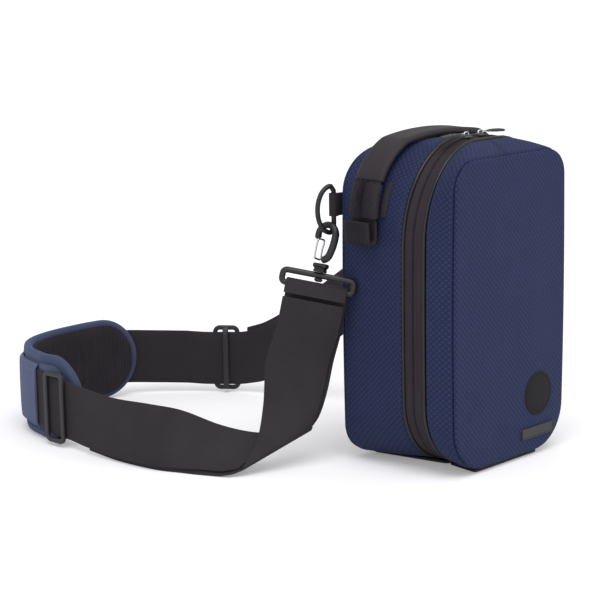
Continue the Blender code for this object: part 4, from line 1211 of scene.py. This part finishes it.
def makePad():
    rim = pad["thickness"] / 2
    half = pad["height"] / 2 - 2 * rim - 0.0003 + 0.0025
    inset = 2 * rim + 0.0003 - 0.0025
    inner = -coreGap - pad["thickness"]

    def coreFaces(distance, s):
        edge = 0.0011 * abs(s) ** 6
        return inner + edge, -coreGap - edge

    core = padLayer("padBody", 60, coreFaces, half, "denier", inset, padLength - 2 * inset)
    dress(core, "root", "navy_fabric", "pad_core")

    def knitFaces(distance, s):
        rib = pad["ribHeight"] * abs(math.sin(math.pi * distance / pad["ribPitch"])) * (1 - s ** 8)
        swell = pad["crown"] * (1 - s * s)
        return inner - 0.0003 - 0.0008 - rib - swell, inner - 0.0003

    knit = padLayer("padKnit", 420, knitFaces, half, "knit", inset, padLength - 2 * inset)
    dress(knit, "root", "black_mesh", "pad_mesh")
    # binding tape folded over the edge, with a stitch line near its lip
    outlineHalf = pad["height"] / 2 - rim
    length = padLength - 2 * rim
    steps = 70
    rows, spots = [], []
    middle = pad["height"] / 2 + 0.0003
    for sign in (1, -1):
        for i in range(steps):
            k = i / steps if sign > 0 else 1 - i / steps
            along = mix(0, length, (1 - math.cos(math.pi * k)) / 2)
            spots.append(Vector((rim + along, tipRound(along, outlineHalf, length) * sign)))
    section = [(-3.3, 0), (-3.0, 1.5), (-2.0, 2.9), (-0.4, 3.5), (2.0, 3.7), (4.2, 3.6), (4.9, 3.2), (4.6, 2.6),
               (2.0, 2.3),
               (-0.6, 1.6), (-1.2, 0), (-0.6, -1.6), (2.0, -2.3), (4.6, -2.6), (4.9, -3.2), (4.2, -3.6), (2.0, -3.7),
               (-0.4, -3.5), (-2.0, -2.9), (-3.0, -1.5)]
    stitchLines = {-1: [], 1: []}
    for i, spot in enumerate(spots):
        ahead = (spots[(i + 1) % len(spots)] - spots[i - 1]).normalized()
        inward = Vector((ahead.y, -ahead.x))
        rows.append([padPoint(spot.x + inward.x * a * mm, -coreGap - rim + b * mm, middle + spot.y + inward.y * a * mm)
                     for a, b in section])
        for face in (-1, 1):
            stitchLines[face].append(padPoint(spot.x + inward.x * 3.4 * mm, -coreGap - rim + face * 3.8 * mm,
                                              middle + spot.y + inward.y * 3.4 * mm))
    dress(loftPiece("padBinding", rows, "binding", loop=True, sharp=60), "root", "navy_binding", "pad_binding")
    lines = [line + [line[0]] for line in stitchLines.values()]
    dress(repeatAlong("padStitches", lines, 0.0030, (0.0005, 0.0005, 0.0022), "thread", "MINIMUM"), "root",
          "navy_binding")
    # sewn channel on the outer face, round the webbing
    room, wall = strap["thickness"] / 2 + 0.0008, pad["sleeveWall"]
    high = pad["sleeveHeight"] / 2 - 0.0022
    rows = []
    for distance in between(0.052, padLength - 0.034, 60):
        section = []
        for s in between(-1, 1, 17):
            fall = smooth((abs(s) - 0.86) / 0.14)
            section.append((mix(room + wall + pad["crown"] * 0.6 * (1 - s * s), -coreGap + 0.0007, fall), s * high))
        for s in between(0.97, -0.97, 17):
            fall = smooth((abs(s) - 0.84) / 0.12)
            section.append((mix(room, -coreGap + 0.0003, fall), s * high))
        rows.append([padPoint(distance, off, pad["height"] / 2 + z) for off, z in section])
    dress(loftPiece("padSleeve", rows, "denier", sharp=60), "root", "navy_fabric", "pad_sleeve")
    lines = []
    for z in (-high + 0.0022, high - 0.0022):
        lines.append([padPoint(d, -coreGap + 0.0012, pad["height"] / 2 + z)
                      for d in between(0.053, padLength - 0.035, 60)])
    dress(repeatAlong("sleeveStitches", lines, 0.0030, (0.0005, 0.0005, 0.0022), "thread", "MINIMUM"), "root",
          "navy_fabric")


makePad()
print("pad made")
